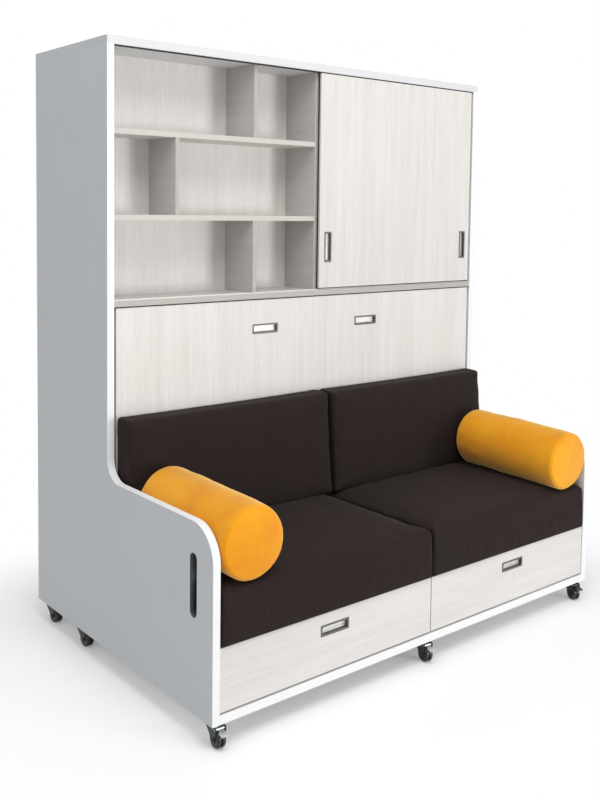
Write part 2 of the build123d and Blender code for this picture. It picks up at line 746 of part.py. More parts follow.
def caster_places():
    """Name, kingpin place, heading of the trail in degrees from +X, and whether it has a pedal."""
    side_x = overall_width / 2 - caster_side_inset
    front_y = sofa_front_y + caster_front_inset
    middle_y = cabinet_front_y + caster_middle_setback
    back_y = rear_y - caster_rear_inset
    return [
        ("front_left", -side_x, front_y, heading_front_left, True),
        ("front_middle", 0, front_y, heading_front_middle, True),
        ("front_right", side_x, front_y, heading_front_right, True),
        ("middle_left", -side_x, middle_y, heading_middle_left, False),
        ("middle_right", side_x, middle_y, heading_middle_right, False),
        ("rear_left", -side_x, back_y, heading_rear_left, False),
        ("rear_right", side_x, back_y, heading_rear_right, False),
    ]


def caster_plate():
    """The screwed plate with its bearing race, under the bottom panel, centred on the kingpin."""
    half = caster_plate_size / 2
    low = caster_height - caster_plate_thickness
    plate = block((-half, -half, low), (half, half, caster_height))
    plate = plate + rod((0, 0, low - caster_race_thickness), (0, 0, low), caster_race_radius)
    plate = plate - rod((0, 0, low - caster_race_thickness), (0, 0, caster_height),
                        kingpin_radius + kingpin_fit)
    spread = plate_screw_spread / 2
    for x in (-spread, spread):
        for y in (-spread, spread):
            plate = plate - rod((x, y, low), (x, y, caster_height), plate_screw_radius)
    return plate


def caster_fork(with_pedal):
    """The swivelling fork with its kingpin and axle, its trail along +X."""
    head_low, head_high = fork_head_low, fork_head_high
    half_gap = wheel_width / 2 + wheel_side_gap
    outer = half_gap + fork_wall
    head = rod((0, 0, head_low), (0, 0, head_high), caster_race_radius)
    reach = fork_trail + fork_reach
    head = head + block((0, -outer, head_low), (reach * fork_web_share, outer, head_high))
    side = Polyline((-fork_reach, head_low), (reach, head_low),
                    (reach, head_low - fork_foot_radius),
                    (fork_trail + fork_foot_radius, wheel_radius),
                    (fork_trail - fork_foot_radius, wheel_radius),
                    (-fork_reach, head_low - fork_foot_radius), close=True)
    leg = extrude(Plane.XZ.offset(half_gap) * make_face(side), fork_wall)
    foot = rod((fork_trail, -outer, wheel_radius), (fork_trail, -half_gap, wheel_radius),
               fork_foot_radius)
    leg = leg + foot
    legs = leg + mirror(leg, about=Plane.XZ)
    bore = rod((fork_trail, -outer, wheel_radius), (fork_trail, outer, wheel_radius),
               axle_radius + axle_fit)
    head_top = rod((0, 0, head_high), (0, 0, caster_height - caster_swivel_gap), kingpin_radius)
    fork = head + legs - bore + head_top
    if with_pedal:
        pedal_bore = rod((pedal_hinge_reach, -outer, pedal_hinge_height),
                         (pedal_hinge_reach, outer, pedal_hinge_height), pedal_hinge_radius + axle_fit)
        fork = fork - pedal_bore
    axle = rod((fork_trail, -outer, wheel_radius), (fork_trail, outer, wheel_radius), axle_radius)
    for way in (-1, 1):
        axle = axle + rod((fork_trail, way * outer, wheel_radius),
                          (fork_trail, way * (outer + axle_nut_thickness), wheel_radius),
                          axle_nut_radius)
    return fork, axle


def caster_wheel():
    """Two rounded treads on one hub, with a dish on each side and a bore for the axle."""
    half = wheel_width / 2
    bore = axle_radius + axle_fit
    edge = wheel_edge_radius
    turn = edge * (1 - sqrt(0.5))
    dish = half - wheel_dish_depth
    rim = wheel_radius - edge
    gap_half = tread_gap_width / 2
    gap_floor = wheel_radius - tread_gap_depth
    profile = (
        Line((bore, -half), (wheel_hub_radius / 2, -half))
        + Line((wheel_hub_radius / 2, -half), (wheel_hub_radius / 2 + wheel_dish_depth, -dish))
        + Line((wheel_hub_radius / 2 + wheel_dish_depth, -dish), (wheel_hub_radius, -dish))
        + Line((wheel_hub_radius, -dish), (wheel_hub_radius + wheel_dish_depth, -half))
        + Line((wheel_hub_radius + wheel_dish_depth, -half), (rim, -half))
        + ThreePointArc((rim, -half), (wheel_radius - turn, -half + turn), (wheel_radius, -half + edge))
        + Line((wheel_radius, -half + edge), (wheel_radius, -gap_half))
        + Line((wheel_radius, -gap_half), (gap_floor, -gap_half))
        + Line((gap_floor, -gap_half), (gap_floor, gap_half))
        + Line((gap_floor, gap_half), (wheel_radius, gap_half))
        + Line((wheel_radius, gap_half), (wheel_radius, half - edge))
        + ThreePointArc((wheel_radius, half - edge), (wheel_radius - turn, half - turn), (rim, half))
        + Line((rim, half), (wheel_hub_radius + wheel_dish_depth, half))
        + Line((wheel_hub_radius + wheel_dish_depth, half), (wheel_hub_radius, dish))
        + Line((wheel_hub_radius, dish), (wheel_hub_radius / 2 + wheel_dish_depth, dish))
        + Line((wheel_hub_radius / 2 + wheel_dish_depth, dish), (wheel_hub_radius / 2, half))
        + Line((wheel_hub_radius / 2, half), (bore, half))
        + Line((bore, half), (bore, -half))
    )
    wheel = revolve(Plane.XZ * make_face(profile), Axis.Z)
    return Pos(fork_trail, 0, wheel_radius) * Rot(90, 0, 0) * wheel


def caster_pedal():
    """The brake pedal: a bent plate on a cross pin between the legs, out beyond the wheel."""
    half_gap = wheel_width / 2 + wheel_side_gap
    outer = half_gap + fork_wall
    pin = rod((pedal_hinge_reach, -outer, pedal_hinge_height),
              (pedal_hinge_reach, outer, pedal_hinge_height), pedal_hinge_radius)
    inner_half = half_gap - pedal_side_gap
    eye = rod((pedal_hinge_reach, -inner_half, pedal_hinge_height),
              (pedal_hinge_reach, inner_half, pedal_hinge_height), 2 * pedal_hinge_radius)
    neck_half = pedal_neck_width / 2
    neck = block((0, -neck_half, -pedal_thickness / 2), (pedal_length, neck_half, pedal_thickness / 2))
    tread = block((pedal_length * pedal_neck_share, -pedal_width / 2, -pedal_thickness / 2),
                  (pedal_length, pedal_width / 2, pedal_thickness / 2))
    lever = Pos(pedal_hinge_reach, 0, pedal_hinge_height) * Rot(0, pedal_slope, 0) * (neck + tread)
    return pin + eye + lever


def write_casters():
    """Seven casters: plates on the bottom panel, and for each a fork, a wheel and maybe a pedal."""
    plates = []
    for name, x, y, heading, with_pedal in caster_places():
        plates.append(Pos(x, y, 0) * caster_plate())
        turned = Pos(x, y, 0) * Rot(0, 0, heading)
        fork, axle = caster_fork(with_pedal)
        write("caster_fork_" + name, turned * fork, turned * axle)
        write("caster_wheel_" + name, turned * caster_wheel())
        if with_pedal:
            write("caster_pedal_" + name, turned * caster_pedal())
    write("caster_plates", *plates)


os.makedirs("parts", exist_ok=True)
write_carcass()
write_shelves()
write_sliding_door()
write_bunk()
write_seat_base()
write_drawers()
write_cushions()
write_casters()
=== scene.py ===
"""Looks of a sofa that turns into a bunk bed: boards, metal, upholstery, light and camera.

Everything is in metres in the part's own frame: X runs along the sofa, the sofa faces -Y
and Z is up. The boards, casters and pulls are the part's own solids with new finishes; the
cushions, bolsters and mattress are new surfaces that stand in for its plain solids.
"""
import logging
import math
from dataclasses import dataclass, field
from enum import Enum
from typing import Callable, Sequence

import bpy
import numpy as np
from mathutils import Matrix, Vector


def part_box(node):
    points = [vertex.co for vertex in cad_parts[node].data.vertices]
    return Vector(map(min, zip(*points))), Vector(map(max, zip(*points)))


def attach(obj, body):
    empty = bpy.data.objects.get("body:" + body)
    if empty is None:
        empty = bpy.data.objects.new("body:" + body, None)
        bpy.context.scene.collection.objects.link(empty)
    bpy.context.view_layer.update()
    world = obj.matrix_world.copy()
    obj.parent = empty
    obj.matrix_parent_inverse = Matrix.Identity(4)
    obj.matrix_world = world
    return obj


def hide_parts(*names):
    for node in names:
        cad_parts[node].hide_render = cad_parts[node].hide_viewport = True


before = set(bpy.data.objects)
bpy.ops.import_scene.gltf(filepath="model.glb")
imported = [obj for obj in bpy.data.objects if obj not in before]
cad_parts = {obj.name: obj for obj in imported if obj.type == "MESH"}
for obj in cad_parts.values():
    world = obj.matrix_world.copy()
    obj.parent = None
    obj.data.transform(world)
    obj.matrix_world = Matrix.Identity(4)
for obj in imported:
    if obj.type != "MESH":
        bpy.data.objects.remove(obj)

LOG = logging.getLogger("sofa_bunk")
WHITE = (1.0, 1.0, 1.0, 1.0)
FULL_TURN = 2 * math.pi
TINY = 1e-9
Colour = tuple[float, float, float]
Lengths = tuple[float, float, float]
Array = np.ndarray
Piece = bpy.types.Object
Material = bpy.types.Material
Tree = bpy.types.NodeTree
Node = bpy.types.Node
Socket = bpy.types.NodeSocket


class Grain(Enum):
    """Which way the grain of a laminate runs, as a turn that brings Z onto it."""

    UPRIGHT = (0.0, 0.0, 0.0)
    ALONG_SOFA = (0.0, math.pi / 2, 0.0)
    FRONT_TO_BACK = (math.pi / 2, 0.0, 0.0)


class Face(Enum):
    """The axis that a board's broad faces look along; its other faces are its edges."""

    SIDEWAYS = 0
    FRONTWARDS = 1
    UPWARDS = 2


@dataclass(frozen=True)
class Relief:
    """How a height tips the surface: the share of it that shows, and its depth in metres."""

    strength: float
    depth: float


@dataclass(frozen=True)
class GrainLayer:
    """Noise drawn out along the grain, and its weight in the printed tone."""

    scale: float
    drawn_out: float
    octaves: float
    roughness: float
    weight: float


def shaded(colour: Colour, share: float) -> Colour:
    """A colour at a share of its brightness.

    Args:
        colour: The colour.
        share: The share; over 1 it is made lighter.

    Returns:
        The new colour.
    """
    return tuple(share * part for part in colour)


class Wiring:
    """Adds nodes to a shader tree and joins them."""

    def __init__(self, tree: Tree) -> None:
        """Keeps the tree and clears it.

        Args:
            tree: The node tree of a material, a world or a group.
        """
        self.tree = tree
        tree.nodes.clear()

    def feed(self, node: Node, inputs: dict) -> None:
        """Sets or links a node's inputs.

        Args:
            node: The node.
            inputs: Values or sockets, by the input's name or index.
        """
        for name, value in inputs.items():
            if isinstance(value, Socket):
                self.tree.links.new(value, node.inputs[name])
            else:
                node.inputs[name].default_value = value

    def add(self, kind: str, inputs: dict | None = None, **settings: object) -> Node:
        """Adds a node.

        Args:
            kind: The node's type without its ShaderNode prefix.
            inputs: Values or sockets for its inputs, by name or index.
            settings: Values of the node's own properties.

        Returns:
            The new node.
        """
        prefix = "" if kind.startswith("Node") else "ShaderNode"
        node = self.tree.nodes.new(prefix + kind)
        for name, value in settings.items():
            setattr(node, name, value)
        self.feed(node, inputs or {})
        return node

    def math(self, operation: str, *values: object, clamp: bool = False) -> Socket:
        """Adds a Math node.

        Args:
            operation: What it works out.
            values: Its inputs, as numbers or sockets.
            clamp: Whether the result is kept between 0 and 1.

        Returns:
            The result.
        """
        return self.add("Math", dict(enumerate(values)), operation=operation, use_clamp=clamp).outputs[0]

    def mix(self, share: object, first: object, second: object) -> Socket:
        """Adds a colour mix.

        Args:
            share: How much of the second colour, as a value or a socket.
            first: The first colour or its socket.
            second: The second colour or its socket.

        Returns:
            The mixed colour.
        """
        colours = [(*value, 1.0) if isinstance(value, tuple) else value for value in (first, second)]
        return self.add("Mix", {0: share, 6: colours[0], 7: colours[1]}, data_type="RGBA").outputs[2]

    def span(self, value: object, low: float, high: float, to_low: float = 0.0,
             to_high: float = 1.0) -> Socket:
        """Maps a value from one range to another by a smooth step that is level at both ends.

        Args:
            value: The value or its socket.
            low: Where the first range starts.
            high: Where it ends.
            to_low: The result up to low.
            to_high: The result from high on.

        Returns:
            The result.
        """
        inputs = dict(enumerate((value, low, high, to_low, to_high)))
        return self.add("MapRange", inputs, interpolation_type="SMOOTHSTEP").outputs[0]

    def parts(self, vector: Socket) -> Sequence[Socket]:
        """Splits a vector.

        Args:
            vector: The vector.

        Returns:
            Its X, Y and Z.
        """
        return self.add("SeparateXYZ", {0: vector}).outputs

    def noise(self, vector: Socket, scale: float, octaves: float = 2.0, roughness: float = 0.5,
              stretch: Lengths | None = None) -> Socket:
        """Adds a noise, on a stretched space if wanted.

        Args:
            vector: The place.
            scale: The noise's scale.
            octaves: How many finer noises are added.
            roughness: How strong the finer noises are.
            stretch: How much each axis is scaled before.

        Returns:
            The noise's value.
        """
        if stretch is not None:
            vector = self.add("Mapping", {"Vector": vector, "Scale": stretch}).outputs[0]
        inputs = {"Vector": vector, "Scale": scale, "Detail": octaves, "Roughness": roughness}
        return self.add("TexNoise", inputs).outputs[0]


def make_group(name: str, inputs: dict[str, float | None], outputs: Sequence[str]
               ) -> tuple[Wiring, Sequence[Socket], Node]:
    """Makes a shader node group that gives out plain values.

    Args:
        name: The group's name.
        inputs: The default of each number it takes, or None where it takes a vector.
        outputs: Names of the values it gives.

    Returns:
        The group's wiring, the sockets of what it is given, and its output node.
    """
    tree = bpy.data.node_groups.new(name, "ShaderNodeTree")
    for title, default in inputs.items():
        kind = "NodeSocketVector" if default is None else "NodeSocketFloat"
        socket = tree.interface.new_socket(title, in_out="INPUT", socket_type=kind)
        if default is not None:
            socket.default_value = default
    for title in outputs:
        tree.interface.new_socket(title, in_out="OUTPUT", socket_type="NodeSocketFloat")
    wiring = Wiring(tree)
    return wiring, wiring.add("NodeGroupInput").outputs, wiring.add("NodeGroupOutput")


class SharedEffects:
    """The node groups that more than one finish uses."""

    streaks = GrainLayer(150.0, 0.03, 4.0, 0.65, 0.75)
    bands = GrainLayer(30.0, 0.04, 2.0, 0.5, 0.55)
    clouds = GrainLayer(5.0, 0.25, 2.0, 0.5, 0.40)
    pores = GrainLayer(420.0, 0.05, 3.0, 0.6, -0.30)
    pore_range = (0.56, 0.70)
    pore_depth = 0.5
    tone_offset = -0.35
    drift_scale, drift = 120.0, 0.0012
    yarn_scale, yarn_share = 1400.0, 0.4
    pucker_pitch = 0.009
    pucker_reach = (0.001, 0.012)
    cloud_range = (0.28, 0.72)

    def __init__(self) -> None:
        """Builds each group once."""
        self.grain = self._grain()
        self.weave = self._weave()
        self.seam = self._seam()
        self.mottle = self._mottle()

    def _grain(self) -> Tree:
        """Fine streaks, broad bands and short pores that run along Z.

        The tone is the weighted sum of the layers, spread about its middle by the contrast;
        the height is the streaks less the pores.

        Returns:
            The group.
        """
        w, given, out = make_group("ash_grain", {"Vector": None, "Contrast": 1.0}, ["Tone", "Height"])
        layers = (self.streaks, self.bands, self.clouds, self.pores)
        values = [w.noise(given["Vector"], layer.scale, layer.octaves, layer.roughness,
                          (1.0, 1.0, layer.drawn_out)) for layer in layers]
        values[-1] = w.span(values[-1], *self.pore_range)
        tone = self.tone_offset
        for layer, value in zip(layers, values):
            tone = w.math("MULTIPLY_ADD", value, layer.weight, tone)
        centred = w.math("MULTIPLY", w.math("SUBTRACT", tone, 0.5), given["Contrast"])
        height = w.math("SUBTRACT", values[0], w.math("MULTIPLY", values[-1], self.pore_depth))
        w.feed(out, {"Tone": w.math("ADD", centred, 0.5, clamp=True), "Height": height})
        return w.tree

    def _weave(self) -> Tree:
        """Plain weave on a map in metres: crossed threads, over and under, with uneven yarn.

        The crossing is the product of two sine waves, one across each set of threads.

        Returns:
            The group.
        """
        w, given, out = make_group("plain_weave", {"Vector": None, "Threads": 900.0}, ["Height", "Tone"])
        wobble = w.noise(given["Vector"], self.drift_scale)
        shift = w.math("MULTIPLY", w.math("SUBTRACT", wobble, 0.5), self.drift)
        parts = w.parts(given["Vector"])
        turn = w.math("MULTIPLY", given["Threads"], math.pi)
        warp = w.math("SINE", w.math("MULTIPLY", w.math("ADD", parts[0], shift), turn))
        weft = w.math("SINE", w.math("MULTIPLY", w.math("SUBTRACT", parts[1], shift), turn))
        crossing = w.math("MULTIPLY_ADD", w.math("MULTIPLY", warp, weft), 0.5, 0.5)
        yarn = w.noise(given["Vector"], self.yarn_scale, octaves=1.0)
        woven = w.math("MULTIPLY", crossing, 1 - self.yarn_share)
        height = w.math("MULTIPLY_ADD", yarn, self.yarn_share, woven)
        w.feed(out, {"Height": height, "Tone": height})
        return w.tree

    def _seam(self) -> Tree:
        """A sewn seam on a map whose X is along the seam and Y the distance from it, in metres.

        The groove is deepest on the seam; the pucker is a sine wave along it that fades away
        from it.

        Returns:
            The group.
        """
        w, given, out = make_group("sewn_seam", {"Vector": None, "Width": 0.0022}, ["Groove", "Pucker"])
        parts = w.parts(given["Vector"])
        away = w.math("ABSOLUTE", parts[1])
        groove = w.span(w.math("DIVIDE", away, given["Width"]), 0.0, 1.0, 1.0, 0.0)
        ripple = w.math("SINE", w.math("MULTIPLY", parts[0], FULL_TURN / self.pucker_pitch))
        fade = w.span(away, *self.pucker_reach, 1.0, 0.0)
        w.feed(out, {"Groove": groove, "Pucker": w.math("MULTIPLY", ripple, fade)})
        return w.tree

    def _mottle(self) -> Tree:
        """Cloudy variation over a surface, for handled boards and brushed pile.

        Returns:
            The group.
        """
        w, given, out = make_group("soft_mottle", {"Vector": None, "Scale": 6.0}, ["Tone"])
        cloud = w.add("TexNoise", {"Vector": given["Vector"], "Scale": given["Scale"], "Detail": 4.0,
                                   "Roughness": 0.6, "Distortion": 0.4})
        w.feed(out, {"Tone": w.span(cloud.outputs[0], *self.cloud_range)})
        return w.tree


class Surface(Wiring):
    """A material being wired round a Principled shader."""

    def __init__(self, name: str, effects: SharedEffects) -> None:
        """Starts the material.

        Args:
            name: The material's name.
            effects: The shared node groups.
        """
        self.material = bpy.data.materials.new(name)
        self.material.use_nodes = True
        super().__init__(self.material.node_tree)
        self.effects = effects
        self.shader = self.add("BsdfPrincipled")
        self.add("OutputMaterial", {0: self.shader.outputs[0]})
        coordinates = self.add("TexCoord").outputs
        self.place, self.normal = coordinates["Object"], coordinates["Normal"]

    def facing(self, axis: int, low: float = 0.6, high: float = 0.8) -> Socket:
        """How squarely the surface looks along an axis, either way.

        Args:
            axis: The axis.
            low: Share of the normal along it that still counts as 0.
            high: Share that counts as 1.

        Returns:
            A value from 0 to 1.
        """
        return self.span(self.math("ABSOLUTE", self.parts(self.normal)[axis]), low, high)

    def mottle(self, scale: float) -> Socket:
        """Cloudy variation over the object.

        Args:
            scale: The clouds' scale.

        Returns:
            A tone from 0 to 1.
        """
        inputs = {"Vector": self.place, "Scale": scale}
        return self.add("Group", inputs, node_tree=self.effects.mottle).outputs["Tone"]

    def brush_marks(self, stretch: Lengths) -> Socket:
        """Fine marks of brushed metal.

        Args:
            stretch: How much each axis is scaled; the marks run along the smallest.

        Returns:
            A height from 0 to 1.
        """
        return self.noise(self.place, scale=900.0, octaves=3.0, roughness=0.6, stretch=stretch)

    def bump(self, height: Socket, relief: Relief, under: Socket | None = None) -> Socket:
        """Turns a height into a normal.

        Args:
            height: The height.
            relief: How strongly it shows.
            under: The normal it is laid over, if any.

        Returns:
            The normal.
        """
        inputs = {"Height": height, "Strength": relief.strength, "Distance": relief.depth}
        if under is not None:
            inputs["Normal"] = under
        return self.add("Bump", inputs).outputs[0]

    def finish(self, colour: Socket, tone: Socket, roughness: float, swing: float, normal: Socket,
               **more: object) -> Material:
        """Joins everything to the shader.

        The roughness is its mean less half the swing, plus the swing times the tone.

        Args:
            colour: The base colour.
            tone: What makes the roughness uneven.
            roughness: The mean roughness.
            swing: How far the tone moves it from end to end.
            normal: The surface's normal.
            more: Values of further inputs, by their names with underscores for spaces.

        Returns:
            The finished material.
        """
        rough = self.math("MULTIPLY_ADD", tone, swing, roughness - swing / 2)
        self.feed(self.shader, {"Base Color": colour, "Roughness": rough, "Normal": normal})
        self.feed(self.shader, {name.replace("_", " "): value for name, value in more.items()})
        return self.material


@dataclass(frozen=True)
class LaminateFinish:
    """A board with printed grain on its faces and a plain band on its edges.

    Where the board is given a dark gap colour, it is painted shade of the gaps round the door:
    on the rear part of its ends, beyond the given y, and in a thin strip along its foot, under the given z.
    """

    name: str
    light: Colour
    dark: Colour
    edge: Colour
    grain: Grain
    face: Face
    contrast: float = 1.0
    roughness: float = 0.46
    swing: float = 0.10
    painted_gap_shade: Colour | None = None
    gap_shade_y: float = 0.0
    gap_shade_z: float = 0.0
    cloud_scale: float = 3.5
    cloud_share: float = 0.035
    relief: Relief = Relief(0.12, 0.0004)

    def build(self, effects: SharedEffects) -> Material:
        """Makes the material.

        Args:
            effects: The shared node groups.

        Returns:
            The material.
        """
        w = Surface(self.name, effects)
        turned = w.add("Mapping", {"Vector": w.place, "Rotation": self.grain.value}).outputs[0]
        printed = {"Vector": turned, "Contrast": self.contrast}
        grain = w.add("Group", printed, node_tree=effects.grain).outputs
        cloud, is_face = w.mottle(self.cloud_scale), w.facing(self.face.value)
        colour = w.mix(is_face, self.edge, w.mix(grain["Tone"], self.dark, self.light))
        colour = w.mix(w.math("MULTIPLY", cloud, self.cloud_share), colour, self.dark)
        # Painted shade: the rear of the door's ends and a thin strip along its foot are painted dark for
        # the shadow in the gaps round the door.
        if self.painted_gap_shade is not None:
            at = w.parts(w.place)
            is_rear = w.math("GREATER_THAN", at[1], self.gap_shade_y)
            is_foot = w.math("LESS_THAN", at[2], self.gap_shade_z)
            is_end = w.math("MULTIPLY", w.facing(Face.SIDEWAYS.value), is_rear)
            colour = w.mix(w.math("MAXIMUM", is_end, is_foot), colour, self.painted_gap_shade)
        height = w.math("MULTIPLY", grain["Height"], is_face)
        return w.finish(colour, cloud, self.roughness, self.swing, w.bump(height, self.relief))


@dataclass(frozen=True)
class PlainBoardFinish:
    """A board with a plain, faintly pebbled laminate on its faces and a band on its edges."""

    name: str
    colour: Colour
    edge: Colour
    face: Face
    roughness: float = 0.5
    swing: float = 0.08
    cloud_scale: float = 2.2
    cloud_shade: float = 0.93
    pebble_scale: float = 900.0
    relief: Relief = Relief(0.10, 0.0003)

    def build(self, effects: SharedEffects) -> Material:
        """Makes the material.

        Args:
            effects: The shared node groups.

        Returns:
            The material.
        """
        w = Surface(self.name, effects)
        cloud = w.mottle(self.cloud_scale)
        board = w.mix(cloud, shaded(self.colour, self.cloud_shade), self.colour)
        colour = w.mix(w.facing(self.face.value), self.edge, board)
        pebbles = w.bump(w.noise(w.place, self.pebble_scale), self.relief)
        return w.finish(colour, cloud, self.roughness, self.swing, pebbles)


@dataclass(frozen=True)
class SidePanelFinish:
    """A side board: grey outside, pale inside, white edges, and dark walls in its hand slot, painted darker
    deeper in as shade.
    """

    name: str
    outside: Colour
    inside: Colour
    edge: Colour
    slot_wall_and_shade: Colour
    slot_centre: tuple[float, float]
    slot_half: tuple[float, float]
    outer_x: float
    inner_x: float
    roughness: float = 0.48
    swing: float = 0.08
    cloud_scale: float = 1.6
    cloud_shade: float = 0.95
    pebble_scale: float = 700.0
    relief: Relief = Relief(0.10, 0.0003)

    def build(self, effects: SharedEffects) -> Material:
        """Makes the material.

        The outer face is where the normal looks sideways beyond the middle of the board; every
        wall of the slot is painted dark grey, going to black the deeper it lies, as painted shade.

        Args:
            effects: The shared node groups.

        Returns:
            The material.
        """
        w = Surface(self.name, effects)
        at, cloud = w.parts(w.place), w.mottle(self.cloud_scale)
        is_face = w.facing(Face.SIDEWAYS.value)
        side = w.math("ABSOLUTE", at[0])
        is_outer = w.math("GREATER_THAN", side, (self.outer_x + self.inner_x) / 2)
        grey = w.mix(cloud, shaded(self.outside, self.cloud_shade), self.outside)
        board = w.mix(is_face, self.edge, w.mix(is_outer, self.inside, grey))
        in_slot = w.math("SUBTRACT", 1.0, is_face)
        for place, centre, half in zip((at[1], at[2]), self.slot_centre, self.slot_half):
            off = w.math("ABSOLUTE", w.math("SUBTRACT", place, centre))
            in_slot = w.math("MULTIPLY", in_slot, w.math("LESS_THAN", off, half))
        # Painted shade: the slot's walls go from dark grey at the outer face to black at the inner one.
        slot_wall_and_shade = w.mix(w.span(side, self.inner_x, self.outer_x), (0.0, 0.0, 0.0), self.slot_wall_and_shade)
        pebbles = w.bump(w.noise(w.place, self.pebble_scale), self.relief)
        return w.finish(w.mix(in_slot, board, slot_wall_and_shade), cloud, self.roughness, self.swing, pebbles)


@dataclass(frozen=True)
class PullFinish:
    """Satin nickel for a flush pull: a border painted dark as a reflection, round a cup whose floor is
    painted bright as a highlight.
    """

    name: str
    front_y: float
    border_painted_reflection: Colour = (0.15, 0.147, 0.142)
    cup_painted_highlight: Colour = (0.80, 0.79, 0.77)
    wall_painted_shade: Colour = (0.08, 0.078, 0.075)
    lip: float = 0.0016
    metallic: float = 0.75
    roughness: float = 0.48
    swing: float = 0.2
    brush: Lengths = (0.08, 1.0, 1.0)
    wear_scale: float = 30.0
    wear_share: float = 0.2
    relief: Relief = Relief(0.2, 0.0002)

    def build(self, effects: SharedEffects) -> Material:
        """Makes the material.

        The border, painted dark as a reflection, is what lies within the lip's depth behind the
        pull's front; deeper down, faces that look forward are the cup's floor, painted bright as a
        highlight, and the others its walls, painted dark as shade.

        Args:
            effects: The shared node groups.

        Returns:
            The material.
        """
        w = Surface(self.name, effects)
        depth = w.math("SUBTRACT", w.parts(w.place)[1], self.front_y)
        # Painted light on one metal: a bright highlight on the cup's floor, shade on its walls and a dark
        # reflection on the border.
        inner = w.mix(w.facing(Face.FRONTWARDS.value, 0.5, 0.9), self.wall_painted_shade, self.cup_painted_highlight)
        colour = w.mix(w.math("LESS_THAN", depth, self.lip), inner, self.border_painted_reflection)
        colour = w.mix(w.math("MULTIPLY", w.mottle(self.wear_scale), self.wear_share), colour, self.wall_painted_shade)
        marks = w.brush_marks(self.brush)
        return w.finish(colour, marks, self.roughness, self.swing, w.bump(marks, self.relief),
                        Metallic=self.metallic)


@dataclass(frozen=True)
class ClothFinish:
    """Upholstery cloth with a short pile: weave, cloudy pile, sheen and sewn seams.

    Each shade is the brightness, against the cloth's own colour, of what is mixed in: the
    weave's hollows, the flecks of lifted pile and the seam's groove, which is painted shade in the crease.
    """

    name: str
    colour: Colour
    brushed: Colour
    sheen: float
    sheen_tint: Colour
    threads: float = 900.0
    cloud_scale: float = 7.0
    roughness: float = 0.88
    swing: float = 0.08
    sheen_roughness: float = 0.45
    specular: float = 0.15
    weave_share: float = 0.35
    weave_shade: float = 0.72
    fleck: float = 0.25
    fleck_scale: float = 260.0
    fleck_range: tuple[float, float] = (0.35, 0.68)
    fleck_shade: float = 1.9
    seam_width: float = 0.0022
    seam_depth: float = 1.0
    seam_share: float = 0.75
    seam_painted_shade: float = 0.35
    pucker: float = 0.12
    thread_relief: Relief = Relief(0.35, 0.0004)
    seam_relief: Relief = Relief(0.8, 0.0014)

    def build(self, effects: SharedEffects) -> Material:
        """Makes the material.

        Args:
            effects: The shared node groups.

        Returns:
            The material.
        """
        w = Surface(self.name, effects)
        cloth, sewing = (w.add("UVMap", uv_map=title).outputs[0] for title in ("cloth", "seam"))
        weave = w.add("Group", {"Vector": cloth, "Threads": self.threads}, node_tree=effects.weave).outputs
        seam = w.add("Group", {"Vector": sewing, "Width": self.seam_width}, node_tree=effects.seam).outputs
        cloud = w.mottle(self.cloud_scale)
        pile = w.mix(cloud, self.colour, self.brushed)
        hollows = w.math("MULTIPLY", weave["Tone"], self.weave_share)
        pile = w.mix(hollows, pile, shaded(self.colour, self.weave_shade))
        specks = w.noise(cloth, self.fleck_scale, octaves=3.0, roughness=0.7)
        flecks = w.span(specks, *self.fleck_range)
        pile = w.mix(w.math("MULTIPLY", flecks, self.fleck), pile, shaded(self.brushed, self.fleck_shade))
        # Painted shade: the cloth is darkened along the seam's groove.
        sewn = w.math("MULTIPLY", seam["Groove"], self.seam_share * self.seam_depth)
        pile = w.mix(sewn, pile, shaded(self.colour, self.seam_painted_shade))
        groove = w.math("MULTIPLY", seam["Groove"], -self.seam_depth)
        height = w.math("MULTIPLY_ADD", seam["Pucker"], self.pucker * self.seam_depth, groove)
        threads = w.bump(weave["Height"], self.thread_relief)
        sewing_over = w.bump(height, self.seam_relief, threads)
        return w.finish(pile, cloud, self.roughness, self.swing, sewing_over, Sheen_Weight=self.sheen,
                        Sheen_Roughness=self.sheen_roughness, Sheen_Tint=(*self.sheen_tint, 1.0),
                        Specular_IOR_Level=self.specular)


@dataclass(frozen=True)
class MetalFinish:
    """Metal with fine brush marks and slightly uneven polish, in two tones if wanted."""

    name: str
    colour: Colour
    roughness: float
    metallic: float = 1.0
    brush: Lengths = (1.0, 0.05, 1.0)
    swing: float = 0.16
    low_colour: Colour | None = None
    split_z: float = 0.0
    cloud_scale: float = 40.0
    cloud_shade: float = 0.8
    relief: Relief = Relief(0.15, 0.0002)

    def build(self, effects: SharedEffects) -> Material:
        """Makes the material.

        Args:
            effects: The shared node groups.

        Returns:
            The material.
        """
        w = Surface(self.name, effects)
        marks = w.brush_marks(self.brush)
        colour = w.mix(w.mottle(self.cloud_scale), shaded(self.colour, self.cloud_shade), self.colour)
        if self.low_colour is not None:
            colour = w.mix(w.math("LESS_THAN", w.parts(w.place)[2], self.split_z), colour, self.low_colour)
        return w.finish(colour, marks, self.roughness, self.swing, w.bump(marks, self.relief),
                        Metallic=self.metallic)


@dataclass(frozen=True)
class RubberFinish:
    """Moulded rubber or plastic, faintly grained, with clouds of dust over it."""

    name: str
    colour: Colour
    dust: Colour
    roughness: float
    dust_scale: float = 60.0
    dust_share: float = 0.25
    grain_scale: float = 1600.0
    relief: Relief = Relief(0.2, 0.0002)

    def build(self, effects: SharedEffects) -> Material:
        """Makes the material.

        Args:
            effects: The shared node groups.

        Returns:
            The material.
        """
        w = Surface(self.name, effects)
        dust = w.mottle(self.dust_scale)
        colour = w.mix(w.math("MULTIPLY", dust, self.dust_share), self.colour, self.dust)
        grain = w.bump(w.noise(w.place, self.grain_scale), self.relief)
        return w.finish(colour, dust, self.roughness, swing=0.0, normal=grain)


def dress(material: Material, nodes: Sequence[str]) -> None:
    """Gives CAD nodes a material in place of their plain one.

    Args:
        material: The material.
        nodes: Names of the nodes.
    """
    for name in nodes:
        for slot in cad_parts[name].material_slots:
            slot.link = "OBJECT"
            slot.material = material
        LOG.info("%s: %s", name, material.name)


